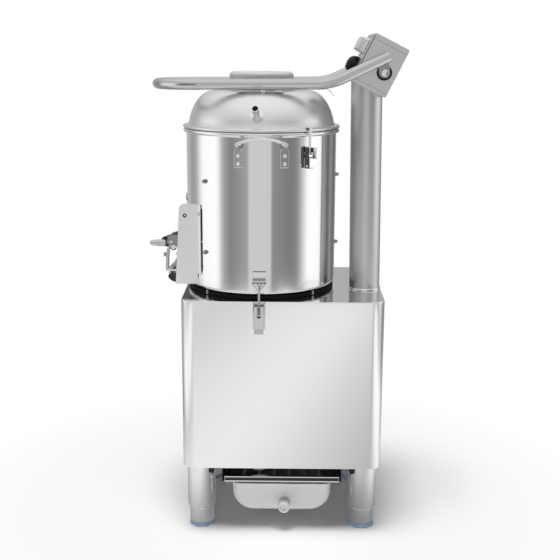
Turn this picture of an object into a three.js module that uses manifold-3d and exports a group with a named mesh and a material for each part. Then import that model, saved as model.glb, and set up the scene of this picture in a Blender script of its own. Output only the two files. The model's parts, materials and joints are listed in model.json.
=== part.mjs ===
// A commercial potato peeler: a steel cabinet on four legs carries the peeling drum, its hinged lid on a
// tube handle, a discharge door, and a column with the tilted control box.
// Millimetres, +Z up. The operator stands at -X, the side shown in photographs faces -Y.

import * as THREE from "three";
import { mergeVertices } from "three/addons/utils/BufferGeometryUtils.js";
import Module from "manifold-3d";

const wasm = await Module();
wasm.setup();

// Clearances
const seatGap = 0.3;
const runGap = 0.5;
const overrun = 4;
const mergeDistance = 0.0005;

// Faces round a full turn, and steps along a bend
const fineSides = 36;
const plainSides = 24;
const smallSides = 12;
const wireSides = 8;
const quarterTurn = 90;
const bendSteps = 4;
const bevelSteps = 2;
const domeSteps = 7;
const beltSteps = 20;

// Cabinet
const cabinetWidth = 382;
const cabinetDepth = 320;
const cabinetBottom = 135;
const cabinetTop = 465;
const cabinetSheet = 2;
const cabinetCorner = 20;
const cabinetEdge = 5;
const floorSheet = 3;
const floorInset = 2;

// Legs and feet
const legRadius = 27;
const legWall = 2;
const legBottom = 41;
const legInsetX = 33;
const legInsetY = 47;
const legSpacingX = cabinetWidth - legInsetX * 2;
const legSpacingY = cabinetDepth - legInsetY * 2;
const footRadius = 23.5;
const footPadRadius = 17;
const footShoulder = 12;
const footInsertion = 36;
const footCollar = 9;

// Peeling drum
const drumX = -44;
const drumInset = 15;
const drumRadius = cabinetDepth / 2 - drumInset;
const drumWall = 2.5;
const drumSeat = 8;
const drumBottom = cabinetTop + drumSeat;
const drumHeight = 301.5;
const drumRimTop = drumBottom + drumHeight;
const drumRimHeight = 8;
const drumRimLip = 6;
const drumRimRadius = drumRadius + drumRimLip;
const drumEdge = 8;
const seatRingInset = 5;
const seatRingWidth = 8;
const seatRingOuter = drumRadius - seatRingInset;
const seatRingInner = seatRingOuter - seatRingWidth;
const collarRadius = 26.5;
const collarBore = 24;
const collarHeight = 22;
const linerWall = 3.5;
const linerLift = 27;
const linerHeight = 260;
const linerBottom = drumBottom + linerLift;
const linerTop = linerBottom + linerHeight;
const linerBoltRadius = 3;
const linerBoltHeads = 4.5;
const linerBoltLength = 6;
const linerBoltRise = 53;
const linerBoltSpacing = 131.5;
const linerBoltLevels = [linerBottom + linerBoltRise, linerBottom + linerBoltRise + linerBoltSpacing];
const linerBoltAngles = [-135, 0, 135];

// Discharge opening, its chute and door
const openingHalfWidth = 66;
const openingLift = 18;
const openingHeight = 107;
const openingBottom = drumBottom + openingLift;
const openingTop = openingBottom + openingHeight;
const chuteReach = 2;
const chuteFront = drumX - drumRadius - chuteReach;
const chuteSheet = 2;
const chuteLift = 7.5;
const chuteFloor = drumBottom + chuteLift;
const ductRoom = 6;
const ductHalfWidth = openingHalfWidth + ductRoom;
const ductTop = openingTop + ductRoom;
const cheekHalfWidth = 82;
const cheekRise = 38;
const cheekTopReach = 5;
const cheekBottomReach = 16;
const cheekOverlap = 30;
const cheekTop = openingTop + cheekRise;
const cheekTopLeft = chuteFront - cheekTopReach;
const cheekBottomLeft = chuteFront - cheekBottomReach;
const cheekRear = chuteFront + cheekOverlap;
const cheekCorner = 9;
const cheekFlange = 14;
const hingeInset = 3.5;
const hingeRise = 16;
const doorHinge = { x: chuteFront + hingeInset, z: openingTop + hingeRise };
const doorPinRadius = 3;
const doorSheet = 2;
const doorLift = 4;
const doorBottom = chuteFloor + doorLift;
const doorSideGap = 2;
const doorEar = 14;
const gasketSheet = 4;
const gasketBorder = 9;
const bumperReach = 24;
const bumperHeight = 14.5;
const bumperTop = doorBottom + bumperHeight;
const bumperRound = 10;

// Door latch
const latchReach = 33;
const latchDrop = 62;
const doorLatch = { x: doorHinge.x - latchReach, z: doorHinge.z - latchDrop };
const doorLatchPinRadius = 2.5;
const doorLatchArm = 7;
const doorLatchHub = 10;
const doorLatchBracket = 19;
const doorLatchEar = 3;
const gripLength = 43.5;
const gripTip = doorLatch.x - gripLength;
const gripDrop = 5;
const gripRadius = 5.5;
const gripTipRadius = 2.8;
const strapWidth = 15;
const strapSheet = 2.5;
const strapReach = 17;
const strapInset = 3;
const strapDrop = 48.5;
const strapBar = { x: doorLatch.x + strapInset, z: doorLatch.z - strapDrop };
const strapBarRadius = 2.2;
const strapCrank = 20.5;
const strapBend = strapBar.z + strapCrank;
const catchSheet = 3;
const catchLip = 1.2;

// Lid
const lidGap = 0.5;
const lidBottom = drumRimTop + lidGap;
const brimSheet = 6;
const brimRadius = drumRimRadius + lidGap;
const domeInset = 11;
const domeRadius = brimRadius - domeInset;
const domeHeight = 71;
const domeTop = lidBottom + domeHeight;
const domeSlope = 50.5;
const domeFlat = domeRadius - domeSlope;
const shoulderInset = 2;
const shoulderDrop = 40;
const browInset = 19.5;
const domeShoulder = { r: domeRadius - shoulderInset, z: domeTop - shoulderDrop };
const domeBrow = { r: domeRadius - browInset, z: domeTop };
const lidSheet = 2;
const windowInset = 27;
const windowSeat = 7;
const windowRadius = domeFlat - windowInset;
const windowHole = windowRadius - windowSeat;
const windowHeight = 35;
const windowTop = domeTop + windowHeight;
const windowSheet = 3;
const windowRound = 8;
const windowFoot = 4;
const inletLift = 29.5;
const inletHeight = lidBottom + inletLift;
const inletOffset = -5;
const inletTurn = -6;
const inletRise = 32;
const inletRadius = 6.5;
const inletBore = 4.6;
const inletLength = 27;
const inletFlangeRadius = 10.5;
const inletFlangeSheet = 4;

// Lid handle and its pivot
const handleRadius = 10;
const handleHalfWidth = 95;
const handleLift = 14;
const handleLevel = domeTop + handleLift;
const handleTip = -253;
const handleBendStart = 62;
const handleBendEnd = 104;
const handleRise = 25;
const handleEnd = 191.5;
const saddleSpacing = 80;
const saddleLength = 16;
const saddleWidth = 9;
const pivotRise = 20.6;
const pivot = { x: 184, z: handleLevel + pivotRise };
const lugSheet = 5;
const lugRadius = 10.5;
const pinRadius = 5;
const pinHeadRadius = 6.5;
const pinHead = 4;
const bushRadius = 14;
const bushBoss = 7;

// Column and control box
const columnInset = 31;
const columnX = cabinetWidth / 2 - columnInset;
const columnY = -34;
const columnLean = 0.65;
const columnRadius = 29.7;
const columnWall = 2;
const columnCollar = 1.5;
const boxSetBack = 3;
const boxDrop = 46.3;
const boxCorner = { x: pivot.x + boxSetBack, z: pivot.z - boxDrop };
const boxTilt = 26.4;
const boxThickness = 71.5;
const boxLength = 97;
const boxHalfWidth = 75;
const boxSheet = 2;
const boxRound = 4;
const knobCentre = 29;
const knobRadius = 17;
const knobDepth = 17.5;
const knobSpindle = 3;
const timerSize = 38;
const timerDepth = 24;
const bootCentre = 69.5;
const bootLength = 28;
const bootHalfWidth = 29;
const bootHeight = 17;
const bootSheet = 1.6;
const bootHem = 3;
const buttonSize = 17;
const buttonSpacing = 26;
const buttonHeight = 8;
const buttonLift = 3.2;
const buttonStem = 3.5;
const buttonStemLength = 9;
const switchDepth = 20;
const wireHole = 12;

// Drive
const shaftRadius = 12;
const shaftTail = 20;
const shaftShoulder = linerBottom;
const shaftNose = 8;
const shaftNoseLength = 24;
const discRoom = 13;
const discRadius = drumRadius - discRoom;
const discSheet = 8;
const discRibs = 3;
const discRibHeight = 7;
const discRibWidth = 14;
const capRadius = 17;
const capHeight = 16;
const housingRadius = 33;
const housingBore = 26;
const housingFlange = 50;
const housingFlangeSheet = 4;
const housingDrop = 120;
const housingBottom = cabinetTop - housingDrop;
const bearingHeight = 15;
const bearingLand = 5;
const sealHeight = 10;
const pulleyDrop = 45;
const pulleyLevel = housingBottom - pulleyDrop;
const shaftBottom = pulleyLevel - shaftTail;
const pulleyPitch = 73;
const pulleyRatio = 3;
const pulleyWidth = 20;
const grooveDepth = 5;
const beltWidth = 10;
const beltSheet = 8;
const motorRadius = 58;
const motorLift = 25;
const motorHeight = 121;
const motorBottom = pulleyLevel + motorLift;
const motorTop = motorBottom + motorHeight;
const statorBore = 42;
const statorInset = 12;
const rotorRadius = 40;
const motorShaftRadius = 9;
const motorPlateSheet = 5;
const motorPlateSize = 152;
const motorPlateInset = 19;
const shaftSpacing = cabinetWidth / 2 - motorPlateSize / 2 - motorPlateInset - drumX;
const hangerRadius = 6;

// Waste water
const drainOffset = 113;
const drainRadius = 16;
const drainWall = 2;
const railHalfWidth = 116;
const railSheet = 2;
const railDrop = 32;
const railBottom = cabinetBottom - railDrop;
const railLip = 12;
const railDepth = 296;
const trayHalfWidth = 111;
const trayLift = 13;
const trayTop = railBottom + trayLift;
const drainGap = 2;
const drainBottom = trayTop + drainGap;
const traySheet = 1.5;
const trayGrip = 7;
const traySlots = 6;
const traySlotRows = 2;
const traySlotWidth = 6;
const trayPanHalfWidth = 88;
const basinHalfWidth = 97;
const basinBottom = 31;
const basinRound = 58;
const basinDepth = 264;
const basinSheet = 3;
const basinEndRound = 18;
const spigotX = 5;
const spigotZ = 52;
const spigotRadius = 11;
const spigotBore = 8;
const spigotLength = 26;

// Draw latches between the drum and the cabinet, and the clip of the lid
const latchWidth = 18;
const latchSheet = 1.5;
const latchPinRadius = 2;
const latchPinOutward = 7;
const latchPinDrop = 9;
const latchHeadLift = 31;
const drumLatch = {
  pivot: cabinetTop - latchPinDrop,
  lever: 43,
  arm: 16,
  head: drumBottom + latchHeadLift,
  tilt: 7,
};
const latchBar = 1.6;
const latchBarHalf = 7.5;
const keeperWidth = 15;
const keeperHeight = 17;
const keeperLip = 1;
const keeperRoom = 1.5;
const clipAngle = -56.5;
const clipWidth = 11;
const clipPinDrop = 30.5;
const clipPivot = drumRimTop - clipPinDrop;
const clipLever = 35;
const clipArm = 9;
const clipPinOutward = 10;
const clipHookLip = 9;

// Drum lifting handles
const liftSpacing = 83;
const liftPlateWidth = 18.5;
const liftPlateDrop = 65.5;
const liftPlateHeight = 36;
const liftPlateBottom = drumRimTop - liftPlateDrop;
const liftPlateTop = liftPlateBottom + liftPlateHeight;
const liftStandOff = 15;
const liftRadius = 3;
const liftRise = 20;
const liftSheet = 2;

// Cable gland, low on the rear panel
const glandX = 120;
const glandZ = 190;
const glandRadius = 9;
const glandNut = 13;
const glandNutSheet = 6;
const glandReach = 11;
const glandBore = 5;

// Colours and finish
const steel = { color: 0xb9bbbd, roughness: 0.25, metalness: 1 };
const brightSteel = { color: 0xd4d6d8, roughness: 0.12, metalness: 1 };
const darkSteel = { color: 0x2a2b2d, roughness: 0.5, metalness: 0.8 };
const castMetal = { color: 0x8a8d90, roughness: 0.55, metalness: 0.9 };
const paintedMotor = { color: 0x3b4650, roughness: 0.5, metalness: 0.2 };
const blackRubber = { color: 0x111112, roughness: 0.8, metalness: 0 };
const blackPlastic = { color: 0x151516, roughness: 0.4, metalness: 0 };
const whitePlastic = { color: 0xeeeeec, roughness: 0.35, metalness: 0 };
const clearPlastic = { color: 0xe6e9ea, roughness: 0.2, metalness: 0, transparent: true, opacity: 0.6 };
const greenPlastic = { color: 0x2c9a4a, roughness: 0.35, metalness: 0 };
const redPlastic = { color: 0xb5281f, roughness: 0.35, metalness: 0 };
const abrasive = { color: 0x55514a, roughness: 1, metalness: 0 };

// From geometry to solids and back

function solidOf(geometry) {
  const bare = geometry.clone();
  bare.deleteAttribute("normal");
  bare.deleteAttribute("uv");
  const merged = mergeVertices(bare, mergeDistance);
  const mesh = new wasm.Mesh({
    numProp: 3,
    vertProperties: merged.attributes.position.array,
    triVerts: new Uint32Array(merged.index.array),
  });
  return new wasm.Manifold(mesh);
}

function geometryOf(solid) {
  const { numProp, numVert, vertProperties, triVerts } = solid.getMesh();
  const positions = new Float32Array(numVert * 3);
  for (let i = 0; i < numVert; i++) {
    positions.set(vertProperties.subarray(i * numProp, i * numProp + 3), i * 3);
  }
  const geometry = new THREE.BufferGeometry();
  geometry.setAttribute("position", new THREE.BufferAttribute(positions, 3));
  geometry.setIndex(new THREE.BufferAttribute(triVerts, 1));
  geometry.computeVertexNormals();
  return geometry;
}

function join(...solids) {
  return solids.reduce((whole, piece) => whole.add(piece));
}

function cut(solid, ...tools) {
  return tools.reduce((rest, tool) => rest.subtract(tool), solid);
}

// Matrices that place a shape

function shift(x, y, z) {
  return new THREE.Matrix4().makeTranslation(x, y, z);
}

function turnZ(degrees) {
  return new THREE.Matrix4().makeRotationZ(THREE.MathUtils.degToRad(degrees));
}

function turnX(degrees) {
  return new THREE.Matrix4().makeRotationX(THREE.MathUtils.degToRad(degrees));
}

function turnY(degrees) {
  return new THREE.Matrix4().makeRotationY(THREE.MathUtils.degToRad(degrees));
}

function chain(...matrices) {
  return matrices.reduce((whole, next) => whole.clone().multiply(next));
}

const unmoved = new THREE.Matrix4();

// Basic shapes; ranges are [from, to], and a matrix may place the result

function block([x0, x1], [y0, y1], [z0, z1], matrix = unmoved) {
  const box = new THREE.BoxGeometry(x1 - x0, y1 - y0, z1 - z0);
  box.translate((x0 + x1) / 2, (y0 + y1) / 2, (z0 + z1) / 2);
  return solidOf(box.applyMatrix4(matrix));
}

function post(radius, [z0, z1], x, y, sides = plainSides, matrix = unmoved) {
  const cylinder = new THREE.CylinderGeometry(radius, radius, z1 - z0, sides);
  cylinder.rotateX(Math.PI / 2);
  cylinder.translate(x, y, (z0 + z1) / 2);
  return solidOf(cylinder.applyMatrix4(matrix));
}

function rodY(radius, [y0, y1], x, z, sides = smallSides, matrix = unmoved) {
  const cylinder = new THREE.CylinderGeometry(radius, radius, y1 - y0, sides);
  cylinder.translate(x, (y0 + y1) / 2, z);
  return solidOf(cylinder.applyMatrix4(matrix));
}

function rodX(radius, [x0, x1], y, z, sides = smallSides, matrix = unmoved) {
  const cylinder = new THREE.CylinderGeometry(radius, radius, x1 - x0, sides);
  cylinder.rotateZ(Math.PI / 2);
  cylinder.translate((x0 + x1) / 2, y, z);
  return solidOf(cylinder.applyMatrix4(matrix));
}

// A closed outline of [radius, height] points turned round the Z axis; it may have one edge on the axis.
function turned(points, sides = fineSides, matrix = unmoved) {
  const profile = points.map(([r, z]) => new THREE.Vector2(r, z));
  if (THREE.ShapeUtils.area(profile) < 0) profile.reverse();
  const start = profile.findIndex((p, i) => p.x === 0 && profile.at(i - 1).x === 0);
  const line = start < 0 ? [...profile, profile[0].clone()]
    : [...profile.slice(start), ...profile.slice(0, start)];
  const lathe = new THREE.LatheGeometry(line, sides);
  lathe.rotateX(Math.PI / 2);
  return solidOf(lathe.applyMatrix4(matrix));
}

function shapeOf(points) {
  return new THREE.Shape(points.map(([x, y]) => new THREE.Vector2(x, y)));
}

// An outline in X and Y, extruded from z0 to z1.
function slab(shape, [z0, z1], matrix = unmoved) {
  const geometry = new THREE.ExtrudeGeometry(shape, {
    depth: z1 - z0,
    bevelEnabled: false,
    curveSegments: bendSteps,
  });
  geometry.translate(0, 0, z0);
  return solidOf(geometry.applyMatrix4(matrix));
}

// An outline in X and Z, extruded from y0 to y1.
function sidePlate(shape, [y0, y1], matrix = unmoved) {
  const upright = chain(matrix, shift(0, y1, 0), turnX(90));
  return slab(shape, [0, y1 - y0], upright);
}

function roundedRectangle([x0, x1], [y0, y1], radius) {
  const shape = new THREE.Shape();
  shape.absarc(x1 - radius, y0 + radius, radius, -Math.PI / 2, 0);
  shape.absarc(x1 - radius, y1 - radius, radius, 0, Math.PI / 2);
  shape.absarc(x0 + radius, y1 - radius, radius, Math.PI / 2, Math.PI);
  shape.absarc(x0 + radius, y0 + radius, radius, Math.PI, Math.PI * 1.5);
  return shape;
}

// A path through points whose steps fall on the points themselves.
class Route extends THREE.Curve {
  constructor(points) {
    super();
    this.points = points;
  }

  getPoint(share, target = new THREE.Vector3()) {
    const place = share * (this.points.length - 1);
    const index = Math.min(Math.floor(place), this.points.length - 2);
    return target.lerpVectors(this.points[index], this.points[index + 1], place - index);
  }

  getPointAt(share, target) {
    return this.getPoint(share, target);
  }

  getTangentAt(share, target = new THREE.Vector3()) {
    const index = Math.round(share * (this.points.length - 1));
    const here = this.points[index];
    const before = this.points[Math.max(index - 1, 0)];
    const after = this.points[Math.min(index + 1, this.points.length - 1)];
    const arriving = here.clone().sub(before).normalize();
    const leaving = after.clone().sub(here).normalize();
    return target.copy(arriving.add(leaving)).normalize();
  }
}

function circleShape(radius, sides) {
  const corners = Array.from({ length: sides }, (_, i) => (i / sides) * Math.PI * 2);
  return shapeOf(corners.map((angle) => [radius * Math.cos(angle), radius * Math.sin(angle)]));
}

function bentRod(points, radius, sides = smallSides, matrix = unmoved) {
  const geometry = new THREE.ExtrudeGeometry(circleShape(radius, sides), {
    steps: points.length - 1,
    bevelEnabled: false,
    extrudePath: new Route(points),
  });
  return solidOf(geometry.applyMatrix4(matrix));
}

// Points on an arc from one angle to the other, in degrees, through a function of its sine and cosine.
function arcPoints(from, to, steps, place) {
  return Array.from({ length: steps + 1 }, (_, i) => {
    const angle = THREE.MathUtils.degToRad(from + ((to - from) * i) / steps);
    return place(Math.cos(angle), Math.sin(angle));
  });
}

// The machine as a scene graph

const peeler = new THREE.Group();
const drumAxis = shift(drumX, 0, 0);

function add(name, solid, finish) {
  const mesh = new THREE.Mesh(geometryOf(solid), new THREE.MeshStandardMaterial(finish));
  mesh.name = name;
  peeler.add(mesh);
}

// Cabinet with the bed plates of the two drum latches

function cabinetSolid(inset, [z0, z1], edge) {
  const halfWidth = cabinetWidth / 2 - inset - edge;
  const halfDepth = cabinetDepth / 2 - inset - edge;
  const corner = cabinetCorner - inset - edge;
  const shape = roundedRectangle([-halfWidth, halfWidth], [-halfDepth, halfDepth], corner);
  const geometry = new THREE.ExtrudeGeometry(shape, {
    depth: z1 - z0 - 2 * edge,
    bevelEnabled: edge > 0,
    bevelThickness: edge,
    bevelSize: edge,
    bevelSegments: bevelSteps,
    curveSegments: bendSteps,
  });
  geometry.translate(0, 0, z0 + edge);
  return solidOf(geometry);
}

function cabinetShell() {
  const outside = cabinetSolid(0, [cabinetBottom, cabinetTop], cabinetEdge);
  const inside = cabinetSolid(cabinetSheet, [cabinetBottom - overrun, cabinetTop - cabinetSheet], 0);
  const holes = [
    post(housingRadius + runGap, [cabinetTop - overrun, cabinetTop + overrun], drumX, 0),
    post(drainRadius + runGap, [cabinetTop - overrun, cabinetTop + overrun], drumX, -drainOffset),
    post(wireHole, [cabinetTop - overrun, cabinetTop + overrun], columnX, columnY),
    glandHole(),
  ];
  const shell = cut(outside, inside, ...holes);
  return join(shell, latchBed(latchNear), latchBed(latchFar));
}

function glandHole() {
  const wall = cabinetDepth / 2;
  return rodY(glandRadius + seatGap, [wall - overrun, wall + overrun], glandX, glandZ);
}

function cabinetFloor() {
  const bottom = cabinetBottom + floorInset;
  const halfWidth = cabinetWidth / 2 - cabinetSheet - seatGap;
  const halfDepth = cabinetDepth / 2 - cabinetSheet - seatGap;
  const corner = cabinetCorner - cabinetSheet - seatGap;
  const shape = roundedRectangle([-halfWidth, halfWidth], [-halfDepth, halfDepth], corner);
  const plate = slab(shape, [bottom, bottom + floorSheet]);
  return cut(plate, post(drainRadius + runGap, [bottom - overrun, cabinetTop], drumX, -drainOffset));
}

const legPlaces = [
  ["front_left", -1, -1],
  ["front_right", 1, -1],
  ["rear_left", -1, 1],
  ["rear_right", 1, 1],
];

function leg(x, y) {
  const top = cabinetBottom + floorInset - seatGap;
  const inner = legRadius - legWall;
  const profile = [[inner, legBottom], [legRadius, legBottom], [legRadius, top], [inner, top]];
  return turned(profile, plainSides, shift(x, y, 0));
}

function foot(x, y) {
  const chamfer = footRadius - footPadRadius;
  const collar = legRadius - legWall - seatGap;
  const top = legBottom + footInsertion;
  const profile = [
    [0, 0],
    [footPadRadius, 0],
    [footPadRadius + chamfer * 0.6, footShoulder * 0.3],
    [footRadius, footShoulder],
    [footRadius, top - footCollar],
    [collar, top - footCollar],
    [collar, top],
    [0, top],
  ];
  return turned(profile, plainSides, shift(x, y, 0));
}

function legsAndFeet() {
  for (const [place, sideX, sideY] of legPlaces) {
    const x = (sideX * legSpacingX) / 2;
    const y = (sideY * legSpacingY) / 2;
    add("leg_" + place, leg(x, y), steel);
    add("foot_" + place, foot(x, y), steel);
  }
}

// Draw latches: a bed plate with ears, a lever with a slot, and a hook that reaches up to its keeper.
// In the latch's own frame X is the pin, -Y points away from the plate, and Z is up.

const latchNear = shift(drumX, -cabinetDepth / 2, drumLatch.pivot);
const latchFar = chain(turnZ(180), shift(-drumX, -cabinetDepth / 2, drumLatch.pivot));

function latchEar(side, width, outward) {
  const inner = width / 2 + runGap;
  const range = side > 0 ? [inner, inner + latchSheet] : [-inner - latchSheet, -inner];
  return { range, outward };
}

function latchBed(matrix, width = latchWidth, lever = drumLatch.lever, outward = latchPinOutward) {
  const half = width / 2 + runGap + latchSheet;
  const head = outward + latchPinRadius * 2;
  const ear = latchPinRadius * 3;
  const bed = block([-half, half], [-latchSheet, latchSheet / 3], [-lever, ear], matrix);
  const ears = [1, -1].map((side) => {
    const { range } = latchEar(side, width, outward);
    const plate = block(range, [-head, 0], [-ear, ear], matrix);
    const hole = rodX(latchPinRadius + seatGap, [range[0] - overrun, range[1] + overrun], -outward, 0,
      smallSides, matrix);
    return cut(plate, hole);
  });
  return join(bed, ...ears);
}

// A lever that hangs from its pin: two flanges, a slotted web on the outside and a curled tip.
function latchLever(matrix, width, lever, arm, outward) {
  const half = width / 2;
  const web = outward + latchPinRadius * 2.5;
  const slot = latchPinRadius * 2.2;
  const top = latchPinRadius * 1.5;
  const pinEnd = half + runGap + latchSheet;
  const slotBottom = -arm - latchPinRadius * 4;
  const pieces = [1, -1].map((side) => {
    const range = side > 0 ? [half - latchSheet, half] : [-half, -half + latchSheet];
    const stud = side > 0 ? [half - latchSheet, pinEnd] : [-pinEnd, -half + latchSheet];
    const flange = block(range, [-web, -outward + top], [-lever, top], matrix);
    const hole = rodX(latchPinRadius + seatGap, [range[0] - overrun, range[1] + overrun],
      -outward, -arm, smallSides, matrix);
    return join(cut(flange, hole), rodX(latchPinRadius, stud, -outward, 0, smallSides, matrix));
  });
  const cover = block([-half, half], [-web - latchSheet, -web], [-lever, top], matrix);
  const gap = block([-slot, slot], [-web - overrun, -web + overrun], [slotBottom, top + overrun], matrix);
  const tip = sideTip(lever, web, half, matrix);
  return join(cut(cover, gap), tip, ...pieces);
}

function sideTip(lever, web, half, matrix) {
  const reach = latchSheet * 4;
  const outline = [
    [web, -lever + latchSheet],
    [web + latchSheet, -lever + latchSheet],
    [web + latchSheet + reach / 2, -lever - reach],
    [web + reach / 2, -lever - reach - latchSheet / 2],
    [web, -lever],
  ];
  const across = chain(matrix, turnZ(-90));
  return sidePlate(shapeOf(outline), [-half, half], across);
}

// The hook's rod starts at a cross pin in the lever and ends in a wire triangle over the keeper.
function latchHook(matrix) {
  const { arm, head, tilt, pivot: level } = drumLatch;
  const half = latchWidth / 2 - latchSheet + runGap;
  const length = head - level + arm;
  const own = chain(matrix, shift(0, -latchPinOutward, -arm), turnX(-tilt));
  const pin = rodX(latchPinRadius, [-half, half], 0, 0, smallSides, own);
  const shoulder = length * 0.72;
  const rod = post(latchPinRadius, [0, shoulder], 0, 0, wireSides, own);
  const wire = [1, -1].map((side) => bentRod([
    new THREE.Vector3(0, 0, shoulder - latchBar),
    new THREE.Vector3(side * latchBarHalf, 0, length - latchBar),
    new THREE.Vector3(side * latchBarHalf, 0, length + latchBar),
  ], latchBar, wireSides, own));
  const bar = rodX(latchBar, [-latchBarHalf, latchBarHalf], 0, length, wireSides, own);
  return join(pin, rod, ...wire, bar);
}

// The keeper on the drum: a bracket with an upturned lip outside the hook's bar.
function hookBar() {
  const { arm, head, tilt, pivot: level } = drumLatch;
  const lean = THREE.MathUtils.degToRad(tilt);
  const length = head - level + arm;
  return {
    y: cabinetDepth / 2 + latchPinOutward - length * Math.sin(lean),
    z: level - arm + length * Math.cos(lean),
  };
}

function keeper(matrix) {
  const bar = hookBar();
  const ledgeTop = bar.z - latchBar - runGap;
  const lipInner = bar.y + latchBar + keeperRoom;
  const wall = drumRadius - drumWall / 2;
  const half = latchBarHalf - latchBar * 2.5;
  const ledge = block([-half, half], [-lipInner - latchSheet, -wall],
    [ledgeTop - latchSheet, ledgeTop], matrix);
  const lip = block([-half, half], [-lipInner - latchSheet, -lipInner],
    [ledgeTop - latchSheet, ledgeTop + keeperLip], matrix);
  const back = block([-keeperWidth / 2, keeperWidth / 2], [-drumRadius - latchSheet, -wall],
    [ledgeTop - latchSheet, ledgeTop + keeperHeight], matrix);
  return join(ledge, lip, back);
}

function drumLatches() {
  for (const [place, matrix] of [["near", latchNear], ["far", latchFar]]) {
    const { lever, arm } = drumLatch;
    add("drum_latch_" + place + "_lever",
      latchLever(matrix, latchWidth, lever, arm, latchPinOutward), brightSteel);
    add("drum_latch_" + place + "_hook", latchHook(matrix), brightSteel);
  }
}

// Clip that holds the lid down: the same lever, with a flat strip that reaches over the brim

const clipFrame = chain(drumAxis, turnZ(clipAngle + 90), shift(0, -drumRadius, clipPivot));

function clipStrip() {
  const half = clipWidth / 2 - latchSheet - runGap;
  const top = lidBottom + brimSheet + runGap - clipPivot + clipArm;
  const own = chain(clipFrame, shift(0, -clipPinOutward, -clipArm));
  const pin = rodX(latchPinRadius, [-half - latchSheet - runGap, half + latchSheet + runGap], 0, 0,
    smallSides, own);
  const strip = block([-half, half], [-latchSheet / 2, latchSheet / 2], [0, top + latchSheet], own);
  const lip = block([-half, half], [-latchSheet / 2, clipHookLip], [top, top + latchSheet], own);
  return join(pin, strip, lip);
}

function lidClip() {
  add("lid_clip_lever", latchLever(clipFrame, clipWidth, clipLever, clipArm, clipPinOutward), brightSteel);
  add("lid_clip_hook", clipStrip(), brightSteel);
}

// Drum with its liner and lifting handles

function atDrumSide(angle, matrix) {
  return chain(drumAxis, turnZ(angle), matrix);
}

function openingTool(grow = 0) {
  const half = openingHalfWidth + grow;
  return block([drumX - drumRadius - overrun, drumX - drumRadius / 2], [-half, half],
    [openingBottom - grow, openingTop + grow]);
}

function drumShell() {
  const inner = drumRadius - drumWall;
  const floor = drumBottom + drumWall;
  const rimBottom = drumRimTop - drumRimHeight;
  const profile = [
    [collarBore, drumBottom],
    ...arcPoints(-90, 0, bendSteps, (c, s) =>
      [drumRadius - drumEdge + drumEdge * c, drumBottom + drumEdge + drumEdge * s]),
    [drumRadius, rimBottom],
    [drumRimRadius - drumWall / 2, rimBottom],
    [drumRimRadius, rimBottom + drumWall / 2],
    [drumRimRadius, drumRimTop - drumWall / 2],
    [drumRimRadius - drumWall / 2, drumRimTop],
    [inner, drumRimTop],
    [inner, floor + drumEdge / 2],
    [inner - drumEdge / 2, floor],
    [collarRadius, floor],
    [collarRadius, drumBottom + collarHeight],
    [collarBore, drumBottom + collarHeight],
  ];
  const drain = post(drainRadius - drainWall, [drumBottom - overrun, floor + overrun], drumX, -drainOffset);
  const shell = cut(turned(profile, fineSides, drumAxis), openingTool(), drain, ...linerBoltTools());
  const clipBed = latchBed(clipFrame, clipWidth, clipLever, clipPinOutward);
  return join(shell, clipBed, keeper(drumAxis), keeper(chain(drumAxis, turnZ(180))));
}

function eachLinerBolt(make) {
  return linerBoltAngles.flatMap((angle) =>
    linerBoltLevels.map((level) => make(atDrumSide(angle, shift(0, 0, level)))));
}

function linerBoltTools() {
  return eachLinerBolt((matrix) => rodX(linerBoltRadius + seatGap,
    [drumRadius - drumWall - overrun, drumRadius + overrun], 0, 0, wireSides, matrix));
}

function drumLiner() {
  const outer = drumRadius - drumWall - seatGap;
  const inner = outer - linerWall;
  const ring = [[inner, linerBottom], [outer, linerBottom], [outer, linerTop], [inner, linerTop]];
  const bolts = eachLinerBolt((matrix) => join(
    rodX(linerBoltRadius, [outer - linerWall / 2, drumRadius + linerBoltLength], 0, 0, wireSides, matrix),
    rodX(linerBoltHeads, [drumRadius + seatGap, drumRadius + linerBoltLength], 0, 0, wireSides, matrix),
  ));
  return join(cut(turned(ring, fineSides, drumAxis), openingTool()), ...bolts);
}

function liftingHandle(matrix) {
  const wall = Math.sqrt(drumRadius ** 2 - (liftSpacing / 2 + liftPlateWidth / 2) ** 2);
  const grip = drumRadius + liftStandOff;
  const plates = [1, -1].map((side) => {
    const x = (side * liftSpacing) / 2;
    const from = x - liftPlateWidth / 2;
    const arm = block([x - liftPlateWidth / 4, x + liftPlateWidth / 4], [-grip, -wall],
      [liftPlateTop - liftSheet * 2, liftPlateTop + liftRadius], matrix);
    return join(block([from, from + liftPlateWidth], [-drumRadius - liftSheet, -wall],
      [liftPlateBottom, liftPlateTop], matrix), arm);
  });
  const span = liftSpacing / 2;
  const arch = arcPoints(0, 180, bendSteps * 2, (c, s) =>
    new THREE.Vector3(span * c, -grip, liftPlateTop + liftRise * s));
  const clearance = post(drumRadius + seatGap, [liftPlateBottom - overrun, drumRimTop], 0, 0, fineSides,
    matrix);
  return cut(join(bentRod(arch, liftRadius, wireSides, matrix), ...plates), clearance);
}

function seatRing() {
  const profile = [
    [seatRingInner, cabinetTop + seatGap],
    [seatRingOuter, cabinetTop + seatGap],
    [seatRingOuter, drumBottom - seatGap],
    [seatRingInner, drumBottom - seatGap],
  ];
  return turned(profile, fineSides, drumAxis);
}

function drumParts() {
  add("drum", drumShell(), steel);
  add("drum_liner", drumLiner(), abrasive);
  add("drum_seat_ring", seatRing(), blackRubber);
  add("lifting_handle_near", liftingHandle(drumAxis), brightSteel);
  add("lifting_handle_far", liftingHandle(chain(drumAxis, turnZ(180))), brightSteel);
}

// Discharge chute, fixed round the opening of the drum

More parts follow.
